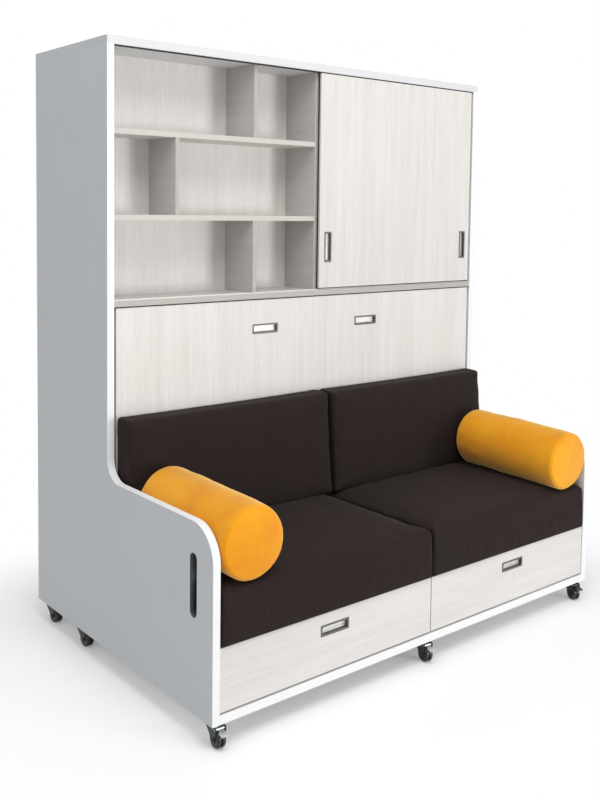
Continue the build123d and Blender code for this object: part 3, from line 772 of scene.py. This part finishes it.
@dataclass
class Boards:
    """Every board of the cabinet and the sofa's base, with the door and the drawers."""

    effects: SharedEffects
    pale: Colour = (0.83, 0.812, 0.785)
    pale_streak: Colour = (0.60, 0.565, 0.535)
    pale_edge: Colour = (0.60, 0.565, 0.53)
    pale_inside: Colour = (0.80, 0.795, 0.79)
    # Painted shade of the gaps round the sliding door: its dark colour, how far behind the door's front its
    # ends turn dark, and the height of the dark strip along its foot.
    painted_gap_shade: Colour = (0.035, 0.030, 0.028)
    gap_shade_depth: float = 0.009
    gap_shade_height: float = 0.004
    grey: Colour = (0.53, 0.555, 0.575)
    white: Colour = (0.84, 0.85, 0.86)
    # The top panel's top, underside and front edge: white laminate painted darker, as painted shade of its
    # underside.
    top_white_and_shade: Colour = (0.66, 0.665, 0.675)
    inner: Colour = (0.78, 0.78, 0.77)
    inner_edge: Colour = (0.74, 0.735, 0.72)
    beech: tuple[Colour, Colour, Colour] = ((0.70, 0.52, 0.33), (0.52, 0.36, 0.21), (0.60, 0.43, 0.26))
    # Dark grey of the slot's walls. It is made this dark in part to stand in for the shade inside the slot.
    slot_wall_and_shade_colour: Colour = (0.14, 0.148, 0.155)
    slot_from_front: float = 0.112
    slot_z: float = 0.509
    slot_half: tuple[float, float] = (0.021, 0.108)

    def dress_all(self) -> None:
        """Dresses each board by the way its grain runs and its faces look."""
        up, along, ahead = Grain.UPRIGHT, Grain.ALONG_SOFA, Face.FRONTWARDS
        # The fourth value of each row is painted light and shade, as a share of the pale ash's brightness.
        # It darkens the shelves, bay floor and dividers as painted shade of the shelf bays, and sets the
        # back wall, door and drawers a little lighter or darker as painted light.
        printed = [
            ("front", up, ahead, 1.0, ["bunk_panel"]),
            ("back_wall", up, ahead, 1.03, ["shelf_back_panel"]),
            ("door", up, ahead, 0.95, ["sliding_door"]),
            ("drawer", along, ahead, 0.97, ["drawer_front_left", "drawer_front_right"]),
            ("shelf", along, Face.UPWARDS, 0.92, ["upper_shelf", "lower_shelf", "cupboard_shelves"]),
            ("bay_floor", along, Face.UPWARDS, 0.74, ["shelf_board"]),
            ("divider", Grain.FRONT_TO_BACK, Face.SIDEWAYS, 0.70, ["row_dividers", "centre_partition"]),
        ]
        door_low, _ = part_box("sliding_door")
        # Only the door gets the dark gap colour, which is painted shade of its gaps.
        painted_gap_shade = {"painted_gap_shade": self.painted_gap_shade, "gap_shade_y": door_low[1] + self.gap_shade_depth,
                "gap_shade_z": door_low[2] + self.gap_shade_height}
        for name, grain, face, share, nodes in printed:
            colours = [shaded(colour, share) for colour in (self.pale, self.pale_streak, self.pale_edge)]
            extra = painted_gap_shade if name == "door" else {}
            finish = LaminateFinish("pale_ash_" + name, *colours, grain, face, **extra)
            dress(finish.build(self.effects), nodes)
        slats = LaminateFinish("beech_slats", *self.beech, up, ahead, contrast=1.4, roughness=0.5)
        dress(slats.build(self.effects), ["bunk_slats"])
        plain = [
            ("top", self.grey, self.top_white_and_shade, Face.SIDEWAYS, ["top_panel"]),
            ("base", self.white, self.white, Face.UPWARDS, ["bottom_panel"]),
            ("inner", self.inner, self.inner_edge, Face.UPWARDS,
             ["seat_deck", "drawer_box_left", "drawer_box_right"]),
            ("upright", self.inner, self.inner_edge, ahead,
             ["rear_panel", "seat_rail", "drawer_partition", "bunk_stops"]),
        ]
        for name, colour, edge, face, nodes in plain:
            dress(PlainBoardFinish("white_laminate_" + name, colour, edge, face).build(self.effects), nodes)
        dress(self._side_finish().build(self.effects), ["side_panel_left", "side_panel_right"])

    def _side_finish(self) -> SidePanelFinish:
        """Works out where the side board's faces and the slot in its arm lie.

        Returns:
            The side board's finish.
        """
        low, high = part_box("side_panel_left")
        return SidePanelFinish("grey_laminate", self.grey, self.pale_inside, self.white, self.slot_wall_and_shade_colour,
                               (low[1] + self.slot_from_front, self.slot_z), self.slot_half,
                               outer_x=abs(low[0]), inner_x=abs(high[0]))


@dataclass
class Hardware:
    """Pulls, tracks, runners, bunk frame and casters."""

    effects: SharedEffects
    places: tuple[str, ...] = ("front_left", "front_middle", "front_right", "middle_left",
                               "middle_right", "rear_left", "rear_right")

    def dress_all(self) -> None:
        """Dresses each metal, rubber and plastic node."""
        low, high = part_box("sliding_door_tracks")
        even = (1.0, 1.0, 1.0)
        forks, wheels = ([f"caster_{part}_{place}" for place in self.places] for part in ("fork", "wheel"))
        finishes = [
            (MetalFinish("bright_zinc", (0.72, 0.73, 0.72), 0.34),
             ["bunk_pivot_pins", "drawer_runners", "drawer_slides_left", "drawer_slides_right",
              "caster_plates"]),
            (MetalFinish("anodised_track", (0.035, 0.033, 0.032), 0.5, 0.3, (0.05, 1.0, 1.0),
                         low_colour=(0.68, 0.65, 0.62), split_z=(low[2] + high[2]) / 2),
             ["sliding_door_tracks"]),
            (MetalFinish("grey_powder_coat", (0.42, 0.43, 0.44), 0.5, 0.0, even),
             ["bunk_frame", "bunk_pivot_brackets"]),
            (RubberFinish("natural_nylon", (0.78, 0.77, 0.74), (0.6, 0.6, 0.58), 0.4),
             ["sliding_door_glides"]),
            (MetalFinish("dark_fork_metal", (0.028, 0.031, 0.033), 0.45, 0.2, even), forks),
            (RubberFinish("black_rubber", (0.007, 0.007, 0.008), (0.03, 0.03, 0.03), 0.38), wheels),
            (MetalFinish("zinc_pedal", (0.66, 0.71, 0.68), 0.36),
             ["caster_pedal_front_left", "caster_pedal_front_middle"]),
            (MetalFinish("dark_pedal", (0.10, 0.10, 0.10), 0.42), ["caster_pedal_front_right"]),
        ]
        for title, nodes in (("bunk", ["bunk_pulls"]), ("door", ["sliding_door_pulls"]),
                             ("drawer", ["drawer_pull_left", "drawer_pull_right"])):
            finishes.append((PullFinish("satin_nickel_" + title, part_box(nodes[0])[0][1]), nodes))
        for finish, nodes in finishes:
            dress(finish.build(self.effects), nodes)


def mesh_object(name: str, points: Array, faces: list, maps: dict[str, Array]) -> Piece:
    """Makes a smooth object from whole arrays.

    Args:
        name: The object's name.
        points: Vertex places, one row each.
        faces: The vertex indices of each face.
        maps: Coordinates of each corner of each face in turn, by the map's name.

    Returns:
        The object, linked to the scene.
    """
    mesh = bpy.data.meshes.new(name)
    mesh.from_pydata(points.tolist(), [], faces)
    for title, corners in maps.items():
        layer = mesh.uv_layers.new(name=title)
        layer.data.foreach_set("uv", corners.reshape(-1).astype(np.float32))
    mesh.polygons.foreach_set("use_smooth", np.ones(len(faces), bool))
    mesh.update()
    piece = bpy.data.objects.new(name, mesh)
    bpy.context.scene.collection.objects.link(piece)
    return piece


def box_skin(size: Array, step: float) -> tuple[Array, Array, Array, Array]:
    """A closed grid on the surface of a box, with sewing maps.

    Each of the six faces is a regular grid over its two axes. Vertices that coincide on the
    box's edges are merged by their whole-number grid places.

    Args:
        size: The box's three lengths.
        step: Length of a grid cell.

    Returns:
        Places from 0 to 1 along each axis, faces, the cloth map in metres, and the seam map:
        metres along the nearest edge of the box, and metres from it.
    """
    cells = np.maximum(2, np.round(size / step).astype(int))
    keys, cloth, seams = [], [], []
    for axis in range(3):
        u_axis, v_axis = (axis + 1) % 3, (axis + 2) % 3
        nu, nv = cells[u_axis], cells[v_axis]
        i, j = np.meshgrid(np.arange(nu), np.arange(nv), indexing="ij")
        for side in (0, 1):
            order = [(0, 0), (1, 0), (1, 1), (0, 1)] if side else [(0, 0), (0, 1), (1, 1), (1, 0)]
            corner_u = np.stack([i + du for du, dv in order], -1).reshape(-1, 4)
            corner_v = np.stack([j + dv for du, dv in order], -1).reshape(-1, 4)
            key = np.zeros((corner_u.shape[0], 4, 3), int)
            key[..., u_axis], key[..., v_axis], key[..., axis] = corner_u, corner_v, side * cells[axis]
            keys.append(key)
            u, v = corner_u / nu * size[u_axis], corner_v / nv * size[v_axis]
            cloth.append(np.stack([u, v], -1))
            away_u, away_v = np.minimum(u, size[u_axis] - u), np.minimum(v, size[v_axis] - v)
            seams.append(np.stack([np.where(away_u < away_v, v, u), np.minimum(away_u, away_v)], -1))
    key = np.concatenate(keys)
    flat, index = np.unique(key.reshape(-1, 3), axis=0, return_inverse=True)
    return flat / cells, index.reshape(-1, 4), np.concatenate(cloth), np.concatenate(seams)


def lumps(points: Array, wavelength: float, seed: int, count: int = 24,
          spread: tuple[float, float] = (0.6, 1.6)) -> Array:
    """Smooth unevenness: a sum of plane waves of random directions, lengths and phases.

    Args:
        points: Places, one row each.
        wavelength: The mean length of a wave.
        seed: Seed of the waves.
        count: How many waves are summed.
        spread: The shortest and longest wave, as shares of the mean.

    Returns:
        A value near -1 to 1 for each point.
    """
    random = np.random.default_rng(seed)
    directions = random.normal(size=(count, 3))
    directions /= np.linalg.norm(directions, axis=1, keepdims=True)
    lengths = wavelength * random.uniform(*spread, count)
    phases = random.uniform(0, FULL_TURN, count)
    waves = np.sin(points @ (directions * (FULL_TURN / lengths)[:, None]).T + phases)
    return waves.sum(1) / math.sqrt(count)


@dataclass
class Inflation:
    """Blows a cushion's cover up with simulated cloth and keeps its flat foot."""

    frames: int = 14
    cap: float = 0.007
    still: float = 0.02
    cloth: dict[str, object] = field(default_factory=lambda: {
        "quality": 4, "mass": 0.25, "tension_stiffness": 12.0, "compression_stiffness": 12.0,
        "shear_stiffness": 5.0, "bending_stiffness": 0.6, "use_pressure": True,
        "uniform_pressure_force": 4.0, "shrink_min": -0.012, "vertex_group_mass": "sewn"})

    def run(self, piece: Piece, hold: Array) -> None:
        """Simulates, limits each vertex's move and writes the result into the mesh.

        A move of length d becomes the cap times the hyperbolic tangent of d over the cap.

        Args:
            piece: The cushion, with no modifiers.
            hold: How much of its move each vertex keeps, from 0 to 1.
        """
        rest = np.empty(len(piece.data.vertices) * 3, np.float32)
        piece.data.vertices.foreach_get("co", rest)
        held = np.nonzero(hold < self.still)[0]
        piece.vertex_groups.new(name="sewn").add(held.tolist(), 1.0, "REPLACE")
        modifier = piece.modifiers.new("Cloth", "CLOTH")
        for name, value in self.cloth.items():
            setattr(modifier.settings, name, value)
        modifier.settings.effector_weights.gravity = 0.0
        modifier.collision_settings.use_collision = False
        scene = bpy.context.scene
        scene.frame_start, scene.frame_end = 1, self.frames
        for step in range(1, self.frames + 1):
            scene.frame_set(step)
        view = piece.evaluated_get(bpy.context.evaluated_depsgraph_get())
        moved = np.empty_like(rest)
        view.data.vertices.foreach_get("co", moved)
        piece.modifiers.clear()
        scene.frame_set(1)
        move = (moved - rest).reshape(-1, 3) * hold[:, None]
        length = np.linalg.norm(move, axis=1, keepdims=True)
        limited = move * np.tanh(length / self.cap) * self.cap / np.maximum(length, TINY)
        piece.data.vertices.foreach_set("co", (rest + limited.reshape(-1)).astype(np.float32))
        piece.data.update()
        piece.vertex_groups.clear()


def finish_soft(piece: Piece, node: str, body: str, material: Material) -> None:
    """Rounds a soft piece off, gives it its material and body, and hides the CAD solid it stands for.

    Args:
        piece: The new object.
        node: The CAD solid it stands for.
        body: The body it rides on.
        material: Its cloth.
    """
    smooth = piece.modifiers.new("Subdivision", "SUBSURF")
    smooth.levels = smooth.render_levels = 1
    piece.data.materials.append(material)
    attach(piece, body)
    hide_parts(node)
    LOG.info("%s: %d vertices", piece.name, len(piece.data.vertices))


@dataclass
class BoxCushion:
    """A boxed cushion: rounded along its edges, crowned, with sides that draw in between corners.

    thickness_axis is the axis the cushion is thin along, and crowned_side 1 when its crowned
    face looks the positive way along it. The radii are those of its edges along each axis,
    and the low radii the same at its foot. The ripples are the wavelengths, weights and seed
    steps of its unevenness, which fades out towards its flat back at a third of its thickness.
    """

    node: str
    body: str
    slot: str
    material: Material
    thickness_axis: int
    crowned_side: int
    radii: Lengths
    crown: float
    draw: float
    seed: int
    low_radii: Lengths | None = None
    wedge: float = 0.0
    shrink: float = 0.0015
    step: float = 0.012
    fill: float = 0.8
    hill_power: float = 3.2
    rise_power: float = 1.5
    corner_power: int = 8
    unevenness: float = 0.0012
    ripples: tuple[tuple[float, float, int], ...] = ((0.11, 0.6, 0), (0.045, 0.25, 7))
    shape: Callable[[Array, Array], Array] | None = None

    def build(self) -> Piece:
        """Makes the cushion in the space of its CAD solid.

        A vertex starts on the box at places s from 0 to 1. Rounding measures how far it lies
        outside the box shrunk by each axis's radius, as shares of those radii, and lays it on
        the ellipsoid whose size is the largest of the shares. The crown is the height times a
        flat-topped hill over the two broad axes, and the sides draw in by a hill along each.
        A wedge adds to the thickness in step with how low a vertex lies.

        Returns:
            The finished cushion.
        """
        low, high = (np.array(corner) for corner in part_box(self.node))
        axis = self.thickness_axis
        broad = [a for a in range(3) if a != axis]
        inset = np.full(3, self.shrink)
        inset[axis] = 0.0
        low, high = low + inset, high - inset
        if self.crowned_side:
            high[axis] -= self.crown
        else:
            low[axis] += self.crown + self.wedge
        share, faces, cloth, seams = box_skin(high - low, self.step)
        flat = low + share * (high - low)
        radii = np.array(self.radii)
        if self.low_radii is not None:
            underneath = 1 - np.clip(share[:, 2:] * 2, 0, 1)
            radii = radii + (np.array(self.low_radii) - radii) * underneath
        core = np.clip(flat, low + radii, high - radii)
        out = (flat - core) / radii
        size = np.abs(out).max(1, keepdims=True)
        out = out * size / np.maximum(np.linalg.norm(out, axis=1, keepdims=True), TINY)
        points = core + out * radii
        centred = 2 * share - 1
        hill = np.prod([1 - np.abs(centred[:, a]) ** self.hill_power for a in broad], axis=0)
        toward = share[:, axis] if self.crowned_side else 1 - share[:, axis]
        sign = 1.0 if self.crowned_side else -1.0
        points[:, axis] += sign * self.crown * hill * np.clip(toward, 0, 1) ** self.rise_power
        points[:, axis] += sign * self.wedge * toward * (1 - share[:, 2])
        waist = np.sin(math.pi * np.clip(share[:, axis], 0, 1))
        for a, other in (broad, broad[::-1]):
            along = 1 - np.abs(centred[:, other]) ** 2.0
            pull = self.draw * along * (0.4 + 0.6 * waist) - 0.5 * self.draw * waist
            points[:, a] -= np.sign(centred[:, a]) * np.abs(centred[:, a]) ** self.corner_power * pull
        if self.shape is not None:
            points = self.shape(points, share)
        wrinkle = sum(lumps(points, length, self.seed + step) * weight
                      for length, weight, step in self.ripples)
        points[:, axis] += sign * self.unevenness * wrinkle * np.clip(toward * 3.0, 0, 1)
        piece = mesh_object(self.node + "_cover", points, faces.tolist(), {"cloth": cloth, "seam": seams})
        Inflation().run(piece, self._hold(share, toward))
        finish_soft(piece, self.node, self.body, self.material)
        return piece

    @staticmethod
    def _hold(share: Array, toward: Array, rim: float = 0.02) -> Array:
        """How much of the simulated move each vertex keeps: none on the foot, some at the seams.

        Args:
            share: Places from 0 to 1 along each axis.
            toward: Places from 0 to 1 towards the crowned face.
            rim: The places' width of the foot and of the seams.

        Returns:
            A share from 0 to 1 for each vertex.
        """
        near = np.sort(np.minimum(share, 1 - share), axis=1)[:, 1]
        sewn = np.clip(near / rim, 0, 1)
        return np.where(toward < rim, 0.0, 0.25 + 0.75 * sewn) * np.clip(toward * 4, 0, 1)


@dataclass
class Bolster:
    """A round bolster with gently domed ends sewn on along a ring.

    Near the ring the cloth gathers in lobes round the axis, gather deep and fading with
    gather_reach, and the ring itself lies in a groove. The rings are counted on the end, its
    rounded edge and half the side. The ripples are the wavelengths, heights and seed steps of
    the unevenness, which fades out within heart of the axis.
    """

    node: str
    material: Material
    seed: int
    length: float = 0.557
    radius: float = 0.1270
    end_radius: float = 0.1236
    dome: float = 0.009
    edge: float = 0.015
    tilt: float = math.radians(1.6)
    around: int = 128
    rings: tuple[int, int, int] = (15, 7, 24)
    ripples: tuple[tuple[float, float, int], ...] = ((0.16, 0.0012, 0), (0.06, 0.0004, 3))
    heart: float = 0.05
    lobes: tuple[int, int, int] = (31, 47, 22)
    gather: float = 0.0009
    gather_reach: float = 0.012
    groove: float = 0.0022
    groove_reach: float = 0.004
    end_seam: float = 0.08
    fill: float = 0.9

    def profile(self) -> tuple[Array, Array, Array]:
        """The outline of half a cut along the axis, from the front end back.

        The end is a dome that falls as the square of the radius, then a quarter circle, then
        a side that swells as half a sine wave. The second half mirrors the first.

        Returns:
            Each ring's radius, its place along the axis, and its run along the outline and
            distance from the nearer seam.
        """
        flat_radius = self.end_radius - self.edge
        disc_rings, edge_rings, side_rings = self.rings
        disc = np.linspace(0.0, 1.0, disc_rings)[1:] ** 0.8 * flat_radius
        disc_z = self.dome * (disc / flat_radius) ** 2
        turn = np.linspace(0, math.pi / 2, edge_rings)[1:]
        edge_r = flat_radius + self.edge * np.sin(turn)
        edge_z = self.dome + self.edge * (1 - np.cos(turn))
        side_z = np.linspace(edge_z[-1], self.length / 2, side_rings)[1:]
        swell = np.sin(math.pi / 2 * (side_z - edge_z[-1]) / (self.length / 2 - edge_z[-1])) ** 0.6
        side_r = self.end_radius + (self.radius - self.end_radius) * swell
        radius = np.concatenate([disc, edge_r, side_r])
        along = np.concatenate([disc_z, edge_z, side_z])
        radius = np.concatenate([radius, radius[-2::-1]])
        along = np.concatenate([along, self.length - along[-2::-1]])
        run = np.concatenate([[0], np.cumsum(np.hypot(np.diff(radius), np.diff(along)))])
        ring = run[len(disc) + 2]
        away = np.minimum(np.abs(run - ring), np.abs(run[-1] - run - ring))
        return radius, along, np.stack([run, away])

    def build(self) -> Piece:
        """Turns the outline round the axis and lays it in the space of its CAD solid.

        Each ring is the outline's radius times the unit circle, moved by the gathers, the
        groove and the lumps, then tilted about X. A fan of triangles closes each end.

        Returns:
            The finished bolster.
        """
        radius, along, (run, away) = self.profile()
        rows, cols = len(radius), self.around
        angle = np.arange(cols) / cols * FULL_TURN
        ring_r, turn = np.meshgrid(radius, angle, indexing="ij")
        random = np.random.default_rng(self.seed)
        phases = random.uniform(0, FULL_TURN, 3)
        gathers = sum(np.sin(n * turn + phase) for n, phase in zip(self.lobes, phases)) / 3
        ring_r = ring_r + self.gather * gathers * np.exp(-away[:, None] / self.gather_reach)
        ring_r = ring_r - self.groove * np.exp(-(away[:, None] / self.groove_reach) ** 2)
        place = np.repeat(along[:, None], cols, 1) - self.length / 2
        points = np.stack([ring_r * np.cos(turn), place, ring_r * np.sin(turn)], -1).reshape(-1, 3)
        ends = np.array([[0, -self.length / 2, 0], [0, self.length / 2, 0]])
        points = np.concatenate([points, ends])
        unevenness = sum(lumps(points, length, self.seed + step) * height
                         for length, height, step in self.ripples)
        outward = points * (1.0, 0.0, 1.0)
        outward /= np.maximum(np.linalg.norm(outward, axis=1, keepdims=True), self.heart)
        points = points + outward * unevenness[:, None]
        cos_t, sin_t = math.cos(self.tilt), math.sin(self.tilt)
        tilted = points.copy()
        tilted[:, 1] = points[:, 1] * cos_t - points[:, 2] * sin_t
        tilted[:, 2] = points[:, 1] * sin_t + points[:, 2] * cos_t
        low, high = (np.array(corner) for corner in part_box(self.node))
        placed = tilted + (low + high) / 2

        i, j = np.meshgrid(np.arange(rows - 1), np.arange(cols), indexing="ij")
        k = (j + 1) % cols
        ring = i * cols
        quads = np.stack([ring + j, ring + k, ring + cols + k, ring + cols + j], -1).reshape(-1, 4)
        first, last, tip = np.arange(cols), (rows - 1) * cols, np.full(cols, rows * cols)
        after = (first + 1) % cols
        fans = np.concatenate([np.stack([tip, after, first], -1),
                               np.stack([tip + 1, last + first, last + after], -1)])

        round_way = (np.arange(cols + 1) / cols * FULL_TURN * self.radius)[None]
        round_map, run_map, away_map = (np.broadcast_to(values, (rows, cols + 1))
                                        for values in (round_way, run[:, None], away[:, None]))
        flat = placed[:, [0, 2]] - placed[-1, [0, 2]]
        maps, corners = {}, ((0, 0), (0, 1), (1, 1), (1, 0))
        for title, across, caps in (("cloth", run_map, flat[fans]),
                                    ("seam", away_map, np.full((len(fans), 3, 2), self.end_seam))):
            sides = np.stack([np.stack([values[i + di, j + dj] for di, dj in corners], -1)
                              for values in (round_map, across)], -1)
            maps[title] = np.concatenate([sides.reshape(-1, 2), caps.reshape(-1, 2)])
        piece = mesh_object(self.node + "_cover", placed, quads.tolist() + fans.tolist(), maps)
        finish_soft(piece, self.node, "carcass", self.material)
        return piece


def quilted(points: Array, share: Array) -> Array:
    """Presses sewn channels into the mattress's open face.

    The channels are parallel lines across its length: the depth is a narrow hill round each
    line, and fades towards the mattress's edges.

    Args:
        points: Vertex places, one row each.
        share: Their places from 0 to 1 along each axis.

    Returns:
        The moved points.
    """
    pitch, width, depth, margin = 0.12, 0.012, 0.004, 0.05
    phase = np.abs((points[:, 0] / pitch) % 1.0 - 0.5)
    channel = np.exp(-((0.5 - phase) * pitch / width) ** 2)
    inside = np.clip(np.minimum(share[:, 2], 1 - share[:, 2]) / margin, 0, 1)
    open_face = np.clip((share[:, 1] - 0.5) * 4, 0, 1)
    points[:, 1] -= depth * channel * inside * open_face
    return points


@dataclass
class Upholstery:
    """The seat and back cushions, the bolsters and the bunk's mattress."""

    effects: SharedEffects
    charcoal: Colour = (0.0155, 0.0102, 0.0092)
    charcoal_brushed: Colour = (0.0210, 0.0142, 0.0126)
    mustard: Colour = (0.78, 0.265, 0.003)
    mustard_brushed: Colour = (0.90, 0.395, 0.014)
    cover: Colour = (0.80, 0.79, 0.76)
    cover_brushed: Colour = (0.74, 0.73, 0.70)

    def build(self) -> None:
        """Makes every soft piece."""
        charcoal = ClothFinish("charcoal_cloth", self.charcoal, self.charcoal_brushed, 0.04,
                               (0.9, 0.8, 0.78), seam_depth=0.12).build(self.effects)
        mustard = ClothFinish("mustard_cloth", self.mustard, self.mustard_brushed, 0.9, (1.0, 0.86, 0.42),
                              cloud_scale=4.5, seam_depth=0.3, fleck=0.08).build(self.effects)
        cotton = ClothFinish("mattress_cotton", self.cover, self.cover_brushed, 0.05, (1.0, 1.0, 1.0),
                             seam_width=0.003).build(self.effects)
        up, ahead = Face.UPWARDS.value, Face.FRONTWARDS.value
        for seed, side in enumerate(("left", "right")):
            BoxCushion("seat_cushion_" + side, "carcass", "charcoal_fabric", charcoal, up, 1,
                       radii=(0.006, 0.024, 0.024), low_radii=(0.006, 0.007, 0.007), crown=0.016,
                       draw=0.003, seed=11 + seed).build()
            BoxCushion("back_cushion_" + side, "carcass", "charcoal_fabric", charcoal, ahead, 0,
                       radii=(0.022, 0.009, 0.022), low_radii=(0.008, 0.009, 0.008), crown=0.007,
                       draw=0.002, wedge=0.040, seed=21 + seed).build()
            Bolster("bolster_" + side, mustard, 31 + seed).build()
        BoxCushion("bunk_mattress", "bunk", "mattress_cover", cotton, ahead, 1, radii=(0.018, 0.018, 0.018),
                   crown=0.004, draw=0.002, seed=41, step=0.02, shape=quilted).build()


@dataclass
class Studio:
    """White floor and surround, plain soft light and the camera.

    The eye, angles, focal length and centre were solved from the photograph's straight lines.
    Each light has a name, a place, a target, the length of its side and its power in watts.
    """

    eye: Lengths = (-2.6474, -3.0362, 1.7069)
    yaw: float = math.radians(39.425)
    pitch: float = math.radians(3.763)
    roll: float = math.radians(0.713)
    focal_pixels: float = 958.18
    centre_pixels: tuple[float, float] = (299.84, 274.37)
    frame_pixels: tuple[int, int] = (600, 800)
    sensor: float = 36.0
    farthest: float = 200.0
    surround: float = 0.48
    floor_reach: float = 60.0
    floor_colour: Colour = (0.86, 0.86, 0.86)
    floor_lift: float = 0.17
    footprint: tuple[float, float] = (1.0, 0.62)
    fade: tuple[float, float] = (0.0, 0.9)
    lights: Sequence[tuple[str, Lengths, Lengths, float, float]] = (
        ("key", (2.4, -6.8, 0.95), (0.0, 0.0, 0.9), 1.7, 165.0),
        ("fill", (-5.4, -1.6, 4.4), (0.0, 0.0, 1.4), 3.0, 42.0),
        ("top", (-1.2, -2.6, 5.2), (0.0, -0.3, 0.0), 3.0, 132.0),
    )

    def build(self) -> None:
        """Sets up everything round the object."""
        scene = bpy.context.scene
        scene.view_settings.view_transform = "Standard"
        self._camera(scene)
        self._world(scene)
        self._floor()
        for name, place, target, size, power in self.lights:
            self._light(name, Vector(place), Vector(target), size, power)

    def _camera(self, scene: bpy.types.Scene) -> None:
        """Places the camera.

        Args:
            scene: The scene that looks through it.
        """
        level = Vector((math.cos(self.yaw), -math.sin(self.yaw), 0.0))
        forward = Vector((math.sin(self.yaw) * math.cos(self.pitch),
                          math.cos(self.yaw) * math.cos(self.pitch), -math.sin(self.pitch)))
        upright = level.cross(forward)
        right = math.cos(self.roll) * level + math.sin(self.roll) * upright
        up = math.cos(self.roll) * upright - math.sin(self.roll) * level
        data = bpy.data.cameras.new("camera")
        width, height = self.frame_pixels
        longest = max(width, height)
        data.sensor_width = self.sensor
        data.lens = self.focal_pixels * self.sensor / longest
        data.shift_x = (width / 2 - self.centre_pixels[0]) / longest
        data.shift_y = (self.centre_pixels[1] - height / 2) / longest
        data.clip_end = self.farthest
        camera = bpy.data.objects.new("camera", data)
        turn = Matrix((right, up, -forward)).transposed().to_4x4()
        camera.matrix_world = Matrix.Translation(Vector(self.eye)) @ turn
        scene.collection.objects.link(camera)
        scene.camera = camera

    def _world(self, scene: bpy.types.Scene) -> None:
        """A plain surround: white where the camera, a reflection or glass sees it.

        Args:
            scene: The scene that it surrounds.
        """
        world = bpy.data.worlds.new("surround")
        world.use_nodes = True
        w = Wiring(world.node_tree)
        path = w.add("LightPath").outputs
        through = w.math("MAXIMUM", path["Is Glossy Ray"], path["Is Transmission Ray"])
        seen = w.math("MAXIMUM", path["Is Camera Ray"], through)
        strength = w.add("MapRange", {0: seen, 3: self.surround, 4: 1.0}).outputs[0]
        sky = w.add("Background", {"Color": WHITE, "Strength": strength})
        w.add("OutputWorld", {0: sky.outputs[0]})
        scene.world = world

    def _floor(self) -> None:
        """A wide white floor that keeps the object's soft shadow.

        Where the camera sees it, a little even white is added near the object, and with
        distance from the object's footprint it turns into the surround's white, so that no
        horizon shows while the shadows under and round the object stay.
        """
        r = self.floor_reach
        points = np.array([[-r, -r, 0], [r, -r, 0], [r, r, 0], [-r, r, 0]])
        floor = mesh_object("floor", points, [[0, 1, 2, 3]], {})
        material = bpy.data.materials.new("white_floor")
        material.use_nodes = True
        w = Wiring(material.node_tree)
        matte = w.add("BsdfDiffuse", {"Color": (*self.floor_colour, 1.0)})
        path = w.add("LightPath").outputs
        seen = w.math("MAXIMUM", path["Is Camera Ray"], path["Is Glossy Ray"])
        lift = w.add("Emission", {"Color": WHITE, "Strength": w.math("MULTIPLY", seen, self.floor_lift)})
        both = w.add("AddShader", {0: matte.outputs[0], 1: lift.outputs[0]})
        squared = 0.0
        for place, half in zip(w.parts(w.add("TexCoord").outputs["Object"]), self.footprint):
            past = w.math("MAXIMUM", w.math("SUBTRACT", w.math("ABSOLUTE", place), half), 0.0)
            squared = w.math("ADD", w.math("POWER", past, 2.0), squared)
        away = w.math("POWER", squared, 0.5)
        far = w.math("MULTIPLY", w.span(away, *self.fade), seen)
        white = w.add("Emission", {"Color": WHITE, "Strength": 1.0})
        shown = w.add("MixShader", {0: far, 1: both.outputs[0], 2: white.outputs[0]})
        w.add("OutputMaterial", {0: shown.outputs[0]})
        floor.data.materials.append(material)

    @staticmethod
    def _light(name: str, place: Vector, target: Vector, size: float, power: float) -> None:
        """Adds one square soft lamp.

        Args:
            name: The lamp's name.
            place: Where it hangs.
            target: What it points at.
            size: Length of its side.
            power: Its power in watts.
        """
        data = bpy.data.lights.new(name, "AREA")
        data.size = size
        data.energy = power
        lamp = bpy.data.objects.new(name, data)
        lamp.location = place
        lamp.rotation_euler = (target - place).to_track_quat("-Z", "Y").to_euler()
        bpy.context.scene.collection.objects.link(lamp)


def main() -> None:
    """Builds the looks in order."""
    logging.basicConfig(level=logging.INFO, format="%(message)s")
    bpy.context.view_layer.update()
    effects = SharedEffects()
    Boards(effects).dress_all()
    Hardware(effects).dress_all()
    Upholstery(effects).build()
    Studio().build()


if __name__ == "__main__":
    main()
